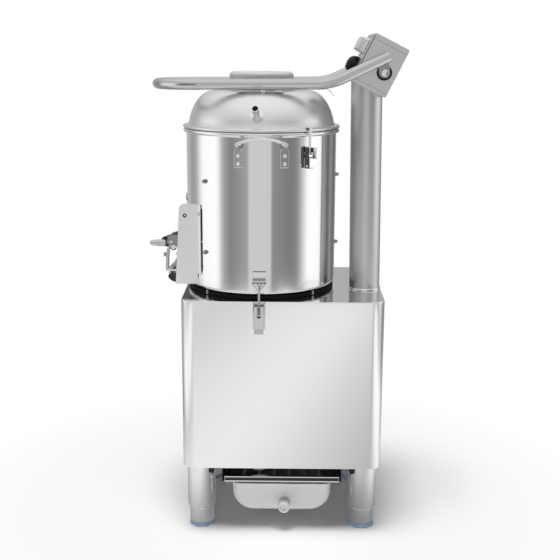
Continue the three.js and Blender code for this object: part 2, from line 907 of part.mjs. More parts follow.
function cheekShape() {
  const shape = new THREE.Shape();
  shape.moveTo(cheekBottomLeft, chuteFloor);
  shape.lineTo(cheekRear, chuteFloor);
  shape.lineTo(cheekRear, cheekTop);
  shape.lineTo(cheekTopLeft + cheekCorner, cheekTop);
  shape.quadraticCurveTo(cheekTopLeft, cheekTop, cheekTopLeft, cheekTop - cheekCorner);
  return shape;
}

// A tab on each cheek's front edge keeps the latch bar under its lip.
function catchTab(side) {
  const y = [side * cheekHalfWidth, side * (cheekHalfWidth - chuteSheet)].sort((a, b) => a - b);
  const under = strapBar.z + strapBarRadius + runGap;
  const front = strapBar.x - strapBarRadius - runGap - catchSheet;
  const tab = block([front, cheekTopLeft], y, [under, under + catchSheet]);
  const lip = block([front, front + catchSheet], y, [under - catchLip, under + catchSheet]);
  return join(tab, lip);
}

function chuteCheeks() {
  const inner = cheekHalfWidth - chuteSheet;
  const hole = rodY(doorPinRadius + seatGap, [-cheekHalfWidth - overrun, cheekHalfWidth + overrun],
    doorHinge.x, doorHinge.z);
  const sides = [[inner, cheekHalfWidth], [-cheekHalfWidth, -inner]];
  const plates = sides.map((range) => cut(sidePlate(cheekShape(), range), hole));
  return join(...plates, catchTab(1), catchTab(-1));
}

// Flanges of the cheeks, which lie on the drum's wall.
function chuteFlanges() {
  const inner = drumRadius + seatGap;
  const outer = inner + chuteSheet;
  const ring = [[inner, chuteFloor], [outer, chuteFloor], [outer, cheekTop], [inner, cheekTop]];
  const sleeve = turned(ring, fineSides, drumAxis);
  const reach = cheekHalfWidth + cheekFlange;
  const inside = cheekHalfWidth - chuteSheet;
  const keep = [[inside, reach], [-reach, -inside]].map((range) =>
    block([drumX - drumRadius - overrun, drumX], range, [chuteFloor - overrun, cheekTop + overrun]));
  return sleeve.intersect(join(...keep));
}

function chuteFrame() {
  const back = drumX - drumRadius / 2;
  const duct = ductHalfWidth - chuteSheet;
  const floor = block([chuteFront, back], [-cheekHalfWidth, cheekHalfWidth],
    [chuteFloor, chuteFloor + chuteSheet]);
  const roof = block([chuteFront, back], [-ductHalfWidth, ductHalfWidth], [ductTop - chuteSheet, ductTop]);
  const walls = [[duct, ductHalfWidth], [-ductHalfWidth, -duct]].map((range) =>
    block([chuteFront, back], range, [chuteFloor, ductTop]));
  const drumBody = post(drumRadius + seatGap, [chuteFloor - overrun, cheekTop + overrun], drumX, 0, fineSides);
  return join(cut(join(floor, roof, ...walls, chuteCheeks()), drumBody), chuteFlanges());
}

// Door with its hinge pins and the bracket of its latch

const doorPlane = chuteFront - gasketSheet - seatGap * 2;
const doorHalfWidth = cheekHalfWidth - chuteSheet - doorSideGap;

function doorEars() {
  const inner = doorHalfWidth - doorSheet;
  const low = ductTop + seatGap * 2;
  return [1, -1].map((side) => {
    const range = side > 0 ? [inner, doorHalfWidth] : [-doorHalfWidth, -inner];
    const pinRange = side > 0 ? [inner, cheekHalfWidth + doorPinRadius]
      : [-cheekHalfWidth - doorPinRadius, -inner];
    const outline = [
      [doorPlane - doorSheet, low - doorEar / 2],
      [doorPlane, low - doorEar / 2],
      [doorHinge.x + doorPinRadius * 2, doorHinge.z - doorPinRadius * 2],
      [doorHinge.x + doorPinRadius * 2, doorHinge.z + doorPinRadius * 2],
      [doorPlane - doorSheet, doorHinge.z + doorPinRadius],
    ];
    return join(sidePlate(shapeOf(outline), range),
      rodY(doorPinRadius, pinRange, doorHinge.x, doorHinge.z));
  });
}

function doorLatchBracketSolid() {
  const inner = doorLatchBracket - doorLatchEar;
  const outer = doorLatchBracket;
  const hole = rodY(doorLatchPinRadius + seatGap, [-outer - overrun, outer + overrun],
    doorLatch.x, doorLatch.z);
  const ears = [[inner, outer], [-outer, -inner]].map((range) => {
    const outline = [
      [doorPlane - doorSheet / 2, doorLatch.z - doorLatchHub],
      [doorPlane - doorSheet / 2, doorLatch.z + doorLatchHub + doorLatchEar],
      [doorLatch.x + doorLatchEar, doorLatch.z + doorLatchHub],
      [doorLatch.x - doorLatchHub / 2, doorLatch.z + doorLatchHub / 2],
      [doorLatch.x - doorLatchHub / 2, doorLatch.z - doorLatchHub / 2],
      [doorLatch.x + doorLatchEar, doorLatch.z - doorLatchHub / 2],
    ];
    return cut(sidePlate(shapeOf(outline), range), hole);
  });
  return join(...ears);
}

function door() {
  const panel = block([doorPlane - doorSheet, doorPlane], [-doorHalfWidth, doorHalfWidth],
    [doorBottom, ductTop]);
  return join(panel, ...doorEars(), doorLatchBracketSolid());
}

// Rubber: a frame behind the door, joined under it to the bumper along its lower front edge.
function doorGasket() {
  const back = doorPlane + seatGap;
  const half = ductHalfWidth + chuteSheet;
  const low = doorBottom - seatGap - gasketSheet / 2;
  const ringTop = ductTop + seatGap;
  const frame = block([back, back + gasketSheet], [-half, half], [low, ringTop]);
  const hole = block([back - overrun, back + gasketSheet + overrun],
    [-half + gasketBorder, half - gasketBorder], [chuteFloor + gasketBorder + chuteSheet, ductTop - gasketBorder]);
  const front = doorPlane - doorSheet - seatGap;
  const tip = front - bumperReach;
  const bumper = new THREE.Shape();
  bumper.moveTo(front, low);
  bumper.lineTo(front, bumperTop - bumperRound / 2);
  bumper.lineTo(tip + bumperRound / 2, bumperTop);
  bumper.quadraticCurveTo(tip, bumperTop, tip, bumperTop - bumperRound / 2);
  bumper.quadraticCurveTo(tip, low, tip + bumperRound * 1.5, low);
  const barRoom = block([strapBar.x - overrun * 2, strapBar.x + strapBarRadius + overrun],
    [-doorHalfWidth - overrun, doorHalfWidth + overrun],
    [strapBar.z - strapBarRadius - overrun, bumperTop + overrun]);
  const under = block([front - gasketSheet, back + gasketSheet], [-half, half],
    [low, doorBottom - seatGap]);
  return join(cut(frame, hole), cut(sidePlate(bumper, [-half, half]), barRoom), under);
}

// Latch lever: a clevis whose grip points at the operator, with the strap between its cheeks.
function doorLatchLever() {
  const inner = strapWidth / 2 + runGap;
  const outer = doorLatchBracket - doorLatchEar - runGap;
  const eye = armEnd(doorLatch, doorLatchArm);
  const bore = rodY(doorLatchPinRadius + seatGap, [-outer - overrun, outer + overrun], eye.x, eye.z);
  const cheeks = [[inner, outer], [-outer, -inner]].map((range) =>
    cut(rodY(doorLatchHub, range, doorLatch.x, doorLatch.z, plainSides), bore));
  const stud = doorLatchBracket;
  const studs = [[inner, stud], [-stud, -inner]].map((range) =>
    rodY(doorLatchPinRadius, range, doorLatch.x, doorLatch.z));
  const front = doorLatch.x - doorLatchHub;
  const web = block([front - doorLatchEar / 2, front + doorLatchEar], [-outer, outer],
    [doorLatch.z - gripDrop - gripRadius, doorLatch.z + gripRadius - gripDrop]);
  return join(...cheeks, ...studs, web, gripSolid(front));
}

function armEnd(centre, arm) {
  const drop = THREE.MathUtils.degToRad(-35);
  return { x: centre.x + arm * Math.cos(drop), z: centre.z + arm * Math.sin(drop) };
}

function gripSolid(front) {
  const length = front - gripTip;
  const profile = [
    [0, 0],
    [gripRadius, 0],
    [gripRadius, length * 0.35],
    [gripTipRadius, length * 0.9],
    [gripTipRadius / 2, length],
    [0, length],
  ];
  return turned(profile, smallSides, chain(shift(front, 0, doorLatch.z - gripDrop), turnY(-90)));
}

// Latch strap: hangs from the lever and carries the bar that sits under the tabs of both cheeks.
function doorLatchHook() {
  const eye = armEnd(doorLatch, doorLatchArm);
  const half = strapWidth / 2;
  const across = doorLatchBracket - doorLatchEar - runGap * 2;
  const left = eye.x - strapReach;
  const outline = [
    [eye.x - strapSheet, eye.z],
    [eye.x - strapSheet, doorLatch.z - doorLatchHub - strapSheet],
    [left - strapSheet, strapBend],
    [left - strapSheet, strapBar.z - strapBarRadius],
    [strapBar.x + strapBarRadius, strapBar.z - strapBarRadius],
    [strapBar.x + strapBarRadius, strapBar.z + strapBarRadius],
    [left, strapBar.z + strapBarRadius],
    [left, strapBend - strapSheet / 2],
    [eye.x + strapSheet, doorLatch.z - doorLatchHub - strapSheet * 2],
    [eye.x + strapSheet, eye.z],
  ];
  const end = cheekHalfWidth + strapBarRadius;
  return join(
    sidePlate(shapeOf(outline), [-half, half]),
    rodY(doorLatchPinRadius, [-across, across], eye.x, eye.z),
    rodY(doorLatchPinRadius * 1.6, [-half, half], eye.x, eye.z),
    rodY(strapBarRadius, [-end, end], strapBar.x, strapBar.z),
    rodX(strapBarRadius, [left - strapSheet * 2, left], 0, (strapBend + strapBar.z) / 2),
  );
}

function dischargeParts() {
  add("chute_frame", chuteFrame(), steel);
  add("discharge_door", door(), steel);
  add("door_gasket", doorGasket(), blackRubber);
  add("door_latch_lever", doorLatchLever(), castMetal);
  add("door_latch_hook", doorLatchHook(), steel);
}

// Lid: dome, window, water inlet and the tube handle that carries it

function domeCurve(offset, steps = bendSteps) {
  const top = domeTop - offset;
  const curve = new THREE.CubicBezierCurve(
    new THREE.Vector2(domeRadius - offset, lidBottom + brimSheet),
    new THREE.Vector2(domeShoulder.r - offset, domeShoulder.z - offset / 2),
    new THREE.Vector2(domeBrow.r - offset / 2, domeBrow.z - offset),
    new THREE.Vector2(domeFlat, top),
  );
  return curve.getPoints(steps).map((p) => [p.x, p.y]);
}

function domeBody(grow) {
  const outline = [[0, lidBottom], [domeRadius + grow, lidBottom], ...domeCurve(-grow, domeSteps)];
  return turned([...outline, [0, domeTop + grow]], fineSides, drumAxis);
}

function inletFrame() {
  const outward = Math.sqrt(domeRadius ** 2 - inletOffset ** 2);
  const inward = (inletHeight - lidBottom) / 6;
  return chain(drumAxis, shift(inletOffset, -outward + inward, inletHeight), turnZ(inletTurn),
    turnX(quarterTurn - inletRise));
}

function inletFlangeLevel() {
  return inletFlangeSheet;
}

function lidShell() {
  const inner = domeCurve(lidSheet).reverse();
  const profile = [
    [domeRadius - lidSheet, lidBottom],
    [brimRadius - lidSheet, lidBottom],
    [brimRadius, lidBottom + lidSheet],
    [brimRadius, lidBottom + brimSheet - lidSheet],
    [brimRadius - lidSheet, lidBottom + brimSheet],
    ...domeCurve(0, domeSteps),
    [windowHole, domeTop],
    [windowHole, domeTop - lidSheet],
    ...inner,
  ];
  const inlet = post(inletRadius + seatGap, [-overrun * 3, inletLength], 0, 0, smallSides, inletFrame());
  return cut(turned(profile, fineSides, drumAxis), inlet);
}

function waterInlet() {
  const frame = inletFrame();
  const low = -overrun * 1.5;
  const flange = inletFlangeLevel();
  const profile = [
    [inletBore, low],
    [inletRadius, low],
    [inletRadius, flange],
    [inletFlangeRadius, flange],
    [inletFlangeRadius, flange + inletFlangeSheet],
    [inletRadius, flange + inletFlangeSheet],
    [inletRadius, inletLength],
    [inletBore, inletLength],
  ];
  const seat = post(inletFlangeRadius, [0, flange + seatGap], 0, 0, smallSides, frame);
  const seated = cut(seat, domeBody(seatGap), post(inletBore, [-overrun, inletLength], 0, 0, smallSides, frame));
  return join(turned(profile, smallSides, frame), seated);
}

function lidWindow() {
  const foot = domeTop + seatGap;
  const inner = windowRadius - windowSheet;
  const profile = [
    [inner, foot],
    [windowRadius + windowFoot, foot],
    [windowRadius + windowFoot, foot + windowSheet],
    [windowRadius, foot + windowSheet],
    ...arcPoints(0, 90, bendSteps - 1, (c, s) =>
      [windowRadius - windowRound + windowRound * c, windowTop - windowRound + windowRound * s]),
    [0, windowTop],
    [0, windowTop - windowSheet],
    [inner - windowRound / 2, windowTop - windowSheet],
    [inner, windowTop - windowRound],
  ];
  return turned(profile, fineSides, drumAxis);
}

// The tube's centre line on one side, from its rear end to the middle of the front bend.
function handleSide() {
  const rise = THREE.MathUtils.degToRad(handleRise);
  const bend = (handleBendEnd - handleBendStart) / Math.sin(rise);
  const low = new THREE.Vector2(handleBendStart, handleLevel);
  const turn = arcPoints(0, handleRise, bendSteps - 1, (c, s) =>
    new THREE.Vector3(low.x + bend * s, -handleHalfWidth, low.y + bend * (1 - c)));
  const last = turn[turn.length - 1];
  const run = handleEnd - last.x;
  const end = new THREE.Vector3(handleEnd, -handleHalfWidth, last.z + run * Math.tan(rise));
  const centre = handleTip + handleRadius + handleHalfWidth;
  const front = arcPoints(-90, -180, bendSteps + 1, (c, s) =>
    new THREE.Vector3(centre + handleHalfWidth * c, handleHalfWidth * s, handleLevel));
  return [end, ...turn.reverse(), ...front];
}

function mirrored(points) {
  return points.map((p) => new THREE.Vector3(p.x, -p.y, p.z));
}

function handleLug(side) {
  const outerFace = boxHalfWidth + bushBoss + seatGap * 2 + lugSheet;
  const range = [side * (outerFace - lugSheet), side * outerFace].sort((a, b) => a - b);
  const top = pivot.z + lugRadius * 2.5;
  const plate = block([pivot.x - lugRadius, pivot.x + lugRadius], range, [pivot.z, top]);
  const end = rodY(lugRadius, range, pivot.x, pivot.z, plainSides);
  const bore = rodY(pinRadius + seatGap, [-outerFace - overrun, outerFace + overrun], pivot.x, pivot.z,
    plainSides);
  return cut(join(plate, end), bore);
}

function handleSaddles() {
  const places = [-1, 1].flatMap((along) => [-1, 1].map((across) => [along, across]));
  return places.map(([along, across]) => {
    const x = drumX + (along * saddleSpacing) / 2;
    const y = across * handleHalfWidth;
    return block([x - saddleLength / 2, x + saddleLength / 2], [y - saddleWidth / 2, y + saddleWidth / 2],
      [domeShoulder.z, handleLevel]);
  });
}

function lidHandle() {
  const half = handleSide();
  const path = [...half, ...mirrored(half).reverse().slice(1)];
  const tube = bentRod(path, handleRadius, smallSides);
  const saddles = cut(join(...handleSaddles()), domeBody(seatGap));
  return join(tube, saddles, handleLug(1), handleLug(-1));
}

function lidParts() {
  add("lid_shell", lidShell(), steel);
  add("lid_window", lidWindow(), clearPlastic);
  add("water_inlet", waterInlet(), brightSteel);
  add("lid_handle", lidHandle(), steel);
}

// Column and control box. In the box's own frame Z runs up the panel, and the panel faces -X.

const boxFrame = chain(shift(boxCorner.x, 0, boxCorner.z), turnY(boxTilt));

function toBoxFrame(place) {
  const point = new THREE.Vector3(place.x, 0, place.z);
  return point.applyMatrix4(boxFrame.clone().invert());
}

// The column leans a little towards the drum, so that its upper end stands under the box.
const columnFrame = chain(shift(columnX, columnY, cabinetTop), turnY(-columnLean));

function column() {
  const inner = columnRadius - columnWall;
  const top = boxCorner.z + boxThickness - cabinetTop;
  const tube = [[inner, -overrun], [columnRadius, -overrun], [columnRadius, top], [inner, top]];
  const collar = [
    [inner, -overrun],
    [columnRadius + columnCollar, -overrun],
    [columnRadius + columnCollar, columnWall],
    [columnRadius, columnWall + columnCollar],
    [inner, columnWall + columnCollar],
  ];
  const low = cabinetTop + seatGap;
  const reach = columnRadius * 2;
  const below = block([columnX - reach, columnX + reach], [columnY - reach, columnY + reach],
    [low - reach, low]);
  const under = block([-boxThickness * 2, boxThickness], [-boxHalfWidth * 2, boxHalfWidth],
    [-seatGap, boxLength], boxFrame);
  return cut(join(turned(tube, plainSides, columnFrame), turned(collar, plainSides, columnFrame)), below, under);
}

function controlBox() {
  const outline = roundedRectangle([-boxThickness, 0], [0, boxLength], boxRound);
  const outside = sidePlate(outline, [-boxHalfWidth, boxHalfWidth], boxFrame);
  const inside = block([-boxThickness + boxSheet, overrun],
    [-boxHalfWidth + boxSheet, boxHalfWidth - boxSheet], [boxSheet, boxLength - boxSheet], boxFrame);
  const panel = [-boxThickness - overrun, -boxThickness + overrun];
  const centre = toBoxFrame(pivot);
  const wall = boxHalfWidth + overrun;
  const columnEnd = new THREE.Vector3(0, 0, pivot.z - cabinetTop).applyMatrix4(columnFrame);
  return cut(outside, inside,
    rodX(knobSpindle + runGap, panel, 0, knobCentre, smallSides, boxFrame),
    rodX(buttonStem + runGap, panel, buttonSpacing / 2, bootCentre, smallSides, boxFrame),
    rodX(buttonStem + runGap, panel, -buttonSpacing / 2, bootCentre, smallSides, boxFrame),
    rodY(bushBore(), [-wall, wall], centre.x, centre.z, plainSides, boxFrame),
    post(wireHole, [-overrun, boxSheet + overrun], toBoxFrame(columnEnd).x, columnY, plainSides, boxFrame));
}

function bushBore() {
  return pinRadius + boxSheet + seatGap * 2;
}

function boxBack() {
  const edge = boxSheet + seatGap;
  return block([-boxSheet, 0], [-boxHalfWidth + edge, boxHalfWidth - edge], [edge, boxLength - edge], boxFrame);
}

function pivotBush(side) {
  const inner = pinRadius + seatGap;
  const sleeve = bushBore() - seatGap;
  const face = boxHalfWidth + seatGap;
  const profile = [
    [inner, face - boxSheet * 2],
    [sleeve, face - boxSheet * 2],
    [sleeve, face],
    [bushRadius, face],
    [bushRadius, face + bushBoss],
    [inner, face + bushBoss],
  ];
  return turned(profile, plainSides, chain(shift(pivot.x, 0, pivot.z), turnX(side > 0 ? -90 : 90)));
}

function pivotPin() {
  const lugFace = boxHalfWidth + bushBoss + seatGap * 2 + lugSheet;
  const head = lugFace + seatGap;
  const shank = rodY(pinRadius, [-head, head], pivot.x, pivot.z, plainSides);
  const heads = [[head, head + pinHead], [-head - pinHead, -head]].map((range) =>
    rodY(pinHeadRadius, range, pivot.x, pivot.z, plainSides));
  return join(shank, ...heads);
}

function timerKnob() {
  const face = -boxThickness - runGap;
  const body = rodX(knobRadius, [face - knobDepth * 0.25, face], 0, knobCentre, plainSides, boxFrame);
  const cap = rodX(knobRadius * 0.82, [face - knobDepth, face], 0, knobCentre, plainSides, boxFrame);
  const ridge = block([face - knobDepth, face], [-knobRadius * 0.2, knobRadius * 0.2],
    [knobCentre - knobRadius * 0.9, knobCentre + knobRadius * 0.9], boxFrame);
  const spindle = rodX(knobSpindle, [face, -boxThickness + boxSheet * 2], 0, knobCentre, smallSides, boxFrame);
  return join(body, cap, ridge, spindle);
}

function timerSwitch() {
  const front = -boxThickness + boxSheet + seatGap;
  const half = timerSize / 2;
  const body = block([front, front + timerDepth], [-half, half], [knobCentre - half / 2, knobCentre + half / 2],
    boxFrame);
  return cut(body, rodX(knobSpindle + runGap, [front - overrun, front + overrun], 0, knobCentre, smallSides,
    boxFrame));
}

function switchBlock() {
  const front = -boxThickness + boxSheet + seatGap;
  const halfWidth = buttonSpacing / 2 + buttonSize / 2;
  const half = buttonSize / 2;
  const body = block([front, front + switchDepth], [-halfWidth, halfWidth],
    [bootCentre - half, bootCentre + half], boxFrame);
  const stems = [1, -1].map((side) => rodX(buttonStem + runGap,
    [front - overrun, front + buttonStemLength], (side * buttonSpacing) / 2, bootCentre, smallSides, boxFrame));
  return cut(body, ...stems);
}

function panelButton(side) {
  const y = (side * buttonSpacing) / 2;
  const half = buttonSize / 2;
  const face = -boxThickness - buttonLift;
  const cap = block([face - buttonHeight, face], [y - half, y + half], [bootCentre - half, bootCentre + half],
    boxFrame);
  const stem = rodX(buttonStem, [face - buttonHeight / 2, face + buttonLift + buttonStemLength - runGap], y,
    bootCentre, smallSides, boxFrame);
  return join(cap, stem);
}

function buttonBoot() {
  const face = -boxThickness - seatGap;
  const half = bootLength / 2;
  const z = [bootCentre - half, bootCentre + half];
  const shell = block([face - bootHeight, face], [-bootHalfWidth, bootHalfWidth], z, boxFrame);
  const hollow = block([face - bootHeight + bootSheet, face + overrun],
    [-bootHalfWidth + bootSheet, bootHalfWidth - bootSheet], [z[0] + bootSheet, z[1] - bootSheet], boxFrame);
  const hem = block([face - bootSheet, face], [-bootHalfWidth - bootHem, bootHalfWidth + bootHem],
    [z[0] - bootHem / 2, z[1] + bootHem / 2], boxFrame);
  return cut(join(shell, hem), hollow);
}

function columnParts() {
  add("column", column(), steel);
  add("control_box", controlBox(), steel);
  add("control_box_back", boxBack(), steel);
  add("pivot_bush_near", pivotBush(-1), blackPlastic);
  add("pivot_bush_far", pivotBush(1), blackPlastic);
  add("lid_pivot_pin", pivotPin(), brightSteel);
  add("timer_knob", timerKnob(), blackPlastic);
  add("timer_switch", timerSwitch(), blackPlastic);
  add("switch_block", switchBlock(), blackPlastic);
  add("start_button", panelButton(-1), greenPlastic);
  add("stop_button", panelButton(1), redPlastic);
  add("button_boot", buttonBoot(), clearPlastic);
}

// Drive: abrasive disc on the main shaft, belt and motor under the cabinet's top

const motorX = drumX + shaftSpacing;

function mainShaft() {
  return turned([
    [0, shaftBottom],
    [shaftRadius, shaftBottom],
    [shaftRadius, shaftShoulder],
    [shaftNose, shaftShoulder],
    [shaftNose, shaftShoulder + shaftNoseLength],
    [0, shaftShoulder + shaftNoseLength],
  ], plainSides, drumAxis);
}

function abrasiveDisc() {
  const low = shaftShoulder + seatGap;
  const bore = shaftNose + seatGap;
  const ring = [[bore, low], [discRadius, low], [discRadius, low + discSheet], [bore, low + discSheet]];
  const disc = turned(ring, fineSides, drumAxis);
  const ribs = Array.from({ length: discRibs }, (_, i) => block(
    [capRadius + overrun, discRadius - overrun], [-discRibWidth / 2, discRibWidth / 2],
    [low + discSheet / 2, low + discSheet + discRibHeight], atDrumSide((i * 360) / discRibs, unmoved)));
  return join(disc, ...ribs);
}

function discCap() {
  const low = shaftShoulder + discSheet + seatGap * 2;
  const bore = shaftNose + seatGap;
  return turned([
    [bore, low],
    [capRadius, low],
    [capRadius, low + capHeight / 2],
    [capRadius / 2, low + capHeight + shaftNoseLength / 3],
    [0, low + capHeight + shaftNoseLength / 3],
    [0, shaftShoulder + shaftNoseLength + seatGap],
    [bore, shaftShoulder + shaftNoseLength + seatGap],
  ], plainSides, drumAxis);
}

// The housing hangs in the cabinet's top plate by its flange.
function bearingHousing() {
  const flange = cabinetTop + seatGap;
  const land = housingBore - bearingLand;
  const pocket = bearingHeight + seatGap * 2;
  return turned([
    [housingBore, housingBottom],
    [housingRadius, housingBottom],
    [housingRadius, flange],
    [housingFlange, flange],
    [housingFlange, flange + housingFlangeSheet],
    [housingBore, flange + housingFlangeSheet],
    [housingBore, flange + housingFlangeSheet - pocket],
    [land, flange + housingFlangeSheet - pocket],
    [land, housingBottom + pocket],
    [housingBore, housingBottom + pocket],
  ], plainSides, drumAxis);
}

function bearing(low) {
  const inner = shaftRadius + seatGap;
  const outer = housingBore - seatGap;
  return turned([[inner, low], [outer, low], [outer, low + bearingHeight], [inner, low + bearingHeight]],
    plainSides, drumAxis);
}

function shaftSeal() {
  const top = drumBottom + collarHeight;
  const inner = shaftRadius + seatGap;
  const outer = collarBore - seatGap;
  return turned([[inner, top - sealHeight], [outer, top - sealHeight], [outer, top], [inner, top]],
    plainSides, drumAxis);
}

function pulley(pitch, bore, sides, matrix) {
  const rim = pitch + grooveDepth;
  const root = pitch - grooveDepth;
  const half = pulleyWidth / 2;
  const groove = beltWidth / 2 + runGap;
  return turned([
    [bore, -half],
    [rim, -half],
    [rim, -groove],
    [root, -groove],
    [root, groove],
    [rim, groove],
    [rim, half],
    [bore, half],
  ], sides, matrix);
}

// The belt's two straight runs touch both pulleys, whose axes lie shaftSpacing apart.
function beltShape(extra) {
  const large = pulleyPitch - grooveDepth + runGap + extra;
  const small = pulleyPitch / pulleyRatio - grooveDepth + runGap + extra;
  const lean = Math.acos((large - small) / shaftSpacing);
  const shape = new THREE.Shape();
  shape.absarc(drumX, 0, large, lean, Math.PI * 2 - lean);
  shape.absarc(motorX, 0, small, -lean, lean);
  return shape;
}

function driveBelt() {
  const range = [pulleyLevel - beltWidth / 2, pulleyLevel + beltWidth / 2];
  const tool = [pulleyLevel - beltWidth, pulleyLevel + beltWidth];
  const options = (depth) => ({ depth, bevelEnabled: false, curveSegments: beltSteps });
  const outer = new THREE.ExtrudeGeometry(beltShape(beltSheet), options(range[1] - range[0]));
  const inner = new THREE.ExtrudeGeometry(beltShape(0), options(tool[1] - tool[0]));
  outer.translate(0, 0, range[0]);
  inner.translate(0, 0, tool[0]);
  return cut(solidOf(outer), solidOf(inner));
}

function motorHousing() {
  const low = motorBottom + statorInset;
  return turned([
    [motorShaftRadius + runGap, motorBottom],
    [motorRadius, motorBottom],
    [motorRadius, motorTop],
    [0, motorTop],
    [0, motorTop - statorInset],
    [statorBore, motorTop - statorInset],
    [statorBore, low],
    [motorShaftRadius + runGap, low],
  ], plainSides, shift(motorX, 0, 0));
}

function motorShaft() {
  const low = motorBottom + statorInset + seatGap;
  const top = motorTop - statorInset - seatGap;
  const end = pulleyLevel - pulleyWidth / 2;
  return turned([
    [0, end],
    [motorShaftRadius, end],
    [motorShaftRadius, low],
    [rotorRadius, low],
    [rotorRadius, top],
    [0, top],
  ], plainSides, shift(motorX, 0, 0));
}

// The motor stands on a plate that hangs from the cabinet's top on four spacers.
function motorPlate() {
  const top = motorBottom - seatGap;
  const half = motorPlateSize / 2;
  const plate = block([motorX - half, motorX + half], [-half, half], [top - motorPlateSheet, top]);
  const hole = post(motorShaftRadius * 2, [top - motorPlateSheet - overrun, top + overrun], motorX, 0);
  const inset = half - hangerRadius * 1.5;
  const spacers = legPlaces.map(([, sideX, sideY]) => post(hangerRadius,
    [top - motorPlateSheet, cabinetTop - cabinetSheet - seatGap], motorX + sideX * inset, sideY * inset,
    smallSides));
  return join(cut(plate, hole), ...spacers);
}

function driveParts() {
  const upperBearing = cabinetTop + housingFlangeSheet - bearingHeight;
  const small = pulleyPitch / pulleyRatio;
  add("main_shaft", mainShaft(), brightSteel);
  add("abrasive_disc", abrasiveDisc(), abrasive);
  add("disc_cap", discCap(), brightSteel);
  add("bearing_housing", bearingHousing(), castMetal);
  add("lower_bearing", bearing(housingBottom + seatGap), brightSteel);
  add("upper_bearing", bearing(upperBearing), brightSteel);
  add("shaft_seal", shaftSeal(), blackRubber);
  const drumPulley = pulley(pulleyPitch, shaftRadius + seatGap, fineSides, shift(drumX, 0, pulleyLevel));
  const smallPulley = pulley(small, motorShaftRadius + seatGap, plainSides, shift(motorX, 0, pulleyLevel));
  add("main_pulley", drumPulley, castMetal);
  add("motor_pulley", smallPulley, castMetal);
  add("drive_belt", driveBelt(), blackRubber);
  add("motor_housing", motorHousing(), paintedMotor);
  add("motor_shaft", motorShaft(), brightSteel);
  add("motor_plate", motorPlate(), steel);
}

// Waste water: drain pipe, rails, filter tray and basin

function drainPipe() {
  const top = drumBottom - seatGap;
  const inner = drainRadius - drainWall;
  return turned([[inner, drainBottom], [drainRadius, drainBottom], [drainRadius, top], [inner, top]],
    plainSides, shift(drumX, -drainOffset, 0));
}

function railFrame() {
  const top = cabinetBottom + floorInset - seatGap;
  const half = railDepth / 2;
  const inner = railHalfWidth - railSheet;
  const sides = [1, -1].map((side) => {
    const wall = side > 0 ? [inner, railHalfWidth] : [-railHalfWidth, -inner];
    const lip = side > 0 ? [railHalfWidth - railLip, railHalfWidth] : [-railHalfWidth, -railHalfWidth + railLip];
    return join(block(wall, [-half, half], [railBottom, top]),
      block(lip, [-half, half], [railBottom, railBottom + railSheet]));
  });
  const back = block([-railHalfWidth, railHalfWidth], [half - railSheet, half], [railBottom, top]);
  return join(...sides, back);
}

const trayLevel = railBottom + railSheet + seatGap;
const basinTop = trayLevel - seatGap;

function trayRange() {
  const front = -railDepth / 2;
  return [front, railDepth / 2 - railSheet - runGap];
}

// A shallow strainer: a rim that slides on the rails, a sunk slotted floor and a folded front edge.
function filterTray() {
  const [front, rear] = trayRange();
  const low = trayLevel;
  const high = trayTop - traySheet;
  const outer = block([-trayHalfWidth, trayHalfWidth], [front, rear], [low, high]);
  const inner = block([-trayHalfWidth + traySheet, trayHalfWidth - traySheet],
    [front + traySheet, rear - traySheet], [low + traySheet, trayTop + overrun]);
  const grip = block([-trayHalfWidth, trayHalfWidth], [front - trayGrip, front + traySheet],
    [trayTop - traySheet, trayTop]);
  const gripFoot = block([-trayHalfWidth, trayHalfWidth], [front - trayGrip, front + traySheet],
    [low, low + traySheet]);
  return join(cut(outer, inner, ...traySlotTools(low, front, rear)), grip, gripFoot);
}

function traySlotTools(low, front, rear) {
  const margin = traySlotWidth * 3;
  const rowLength = (rear - front - margin) / traySlotRows;
  const pitch = (trayPanHalfWidth * 2) / traySlots;
  const tools = [];
  for (let row = 0; row < traySlotRows; row++) {
    for (let slot = 0; slot < traySlots; slot++) {
      const x = -trayPanHalfWidth + pitch * (slot + 1 / 2);
      const y = front + margin + rowLength * row;
      tools.push(block([x - traySlotWidth / 2, x + traySlotWidth / 2], [y, y + rowLength - margin],
        [low - overrun, low + overrun / 2]));
    }
  }
  return tools;
}

function basinSection(inset) {
  const half = basinHalfWidth - inset;
  const low = basinBottom + inset;
  const round = basinRound - inset;
  const shape = new THREE.Shape();
  shape.moveTo(half, basinTop + overrun);
  shape.lineTo(-half, basinTop + overrun);
  shape.absarc(-half + round, low + round, round, Math.PI, Math.PI * 1.5);
  shape.absarc(half - round, low + round, round, -Math.PI / 2, 0);
  return shape;
}

function basinBody(inset) {
  const geometry = new THREE.ExtrudeGeometry(basinSection(inset + basinEndRound), {
    depth: basinDepth - 2 * (inset + basinEndRound),
    bevelThickness: basinEndRound,
    bevelSize: basinEndRound,
    bevelSegments: bevelSteps,
    curveSegments: bendSteps + 2,
  });
  geometry.rotateX(Math.PI / 2);
  geometry.translate(0, basinDepth / 2 - inset - basinEndRound, 0);
  const trim = block([-basinHalfWidth * 2, basinHalfWidth * 2], [-basinDepth, basinDepth],
    [basinTop - (inset > 0 ? -overrun : 0), basinTop * 2]);
  return cut(solidOf(geometry), trim);
}

function wasteBasin() {
  const near = -basinDepth / 2;
  const spigot = rodY(spigotRadius, [near - spigotLength, near + basinEndRound], spigotX, spigotZ, plainSides);
  const bore = rodY(spigotBore, [near - spigotLength - overrun, near + basinEndRound * 2], spigotX, spigotZ,
    plainSides);
  const half = basinHalfWidth;
  const rim = block([-half, half], [near, -near], [basinTop - basinSheet, basinTop]);
  const hollow = basinBody(basinSheet);
  return cut(join(basinBody(0), rim, spigot), hollow, bore);
}

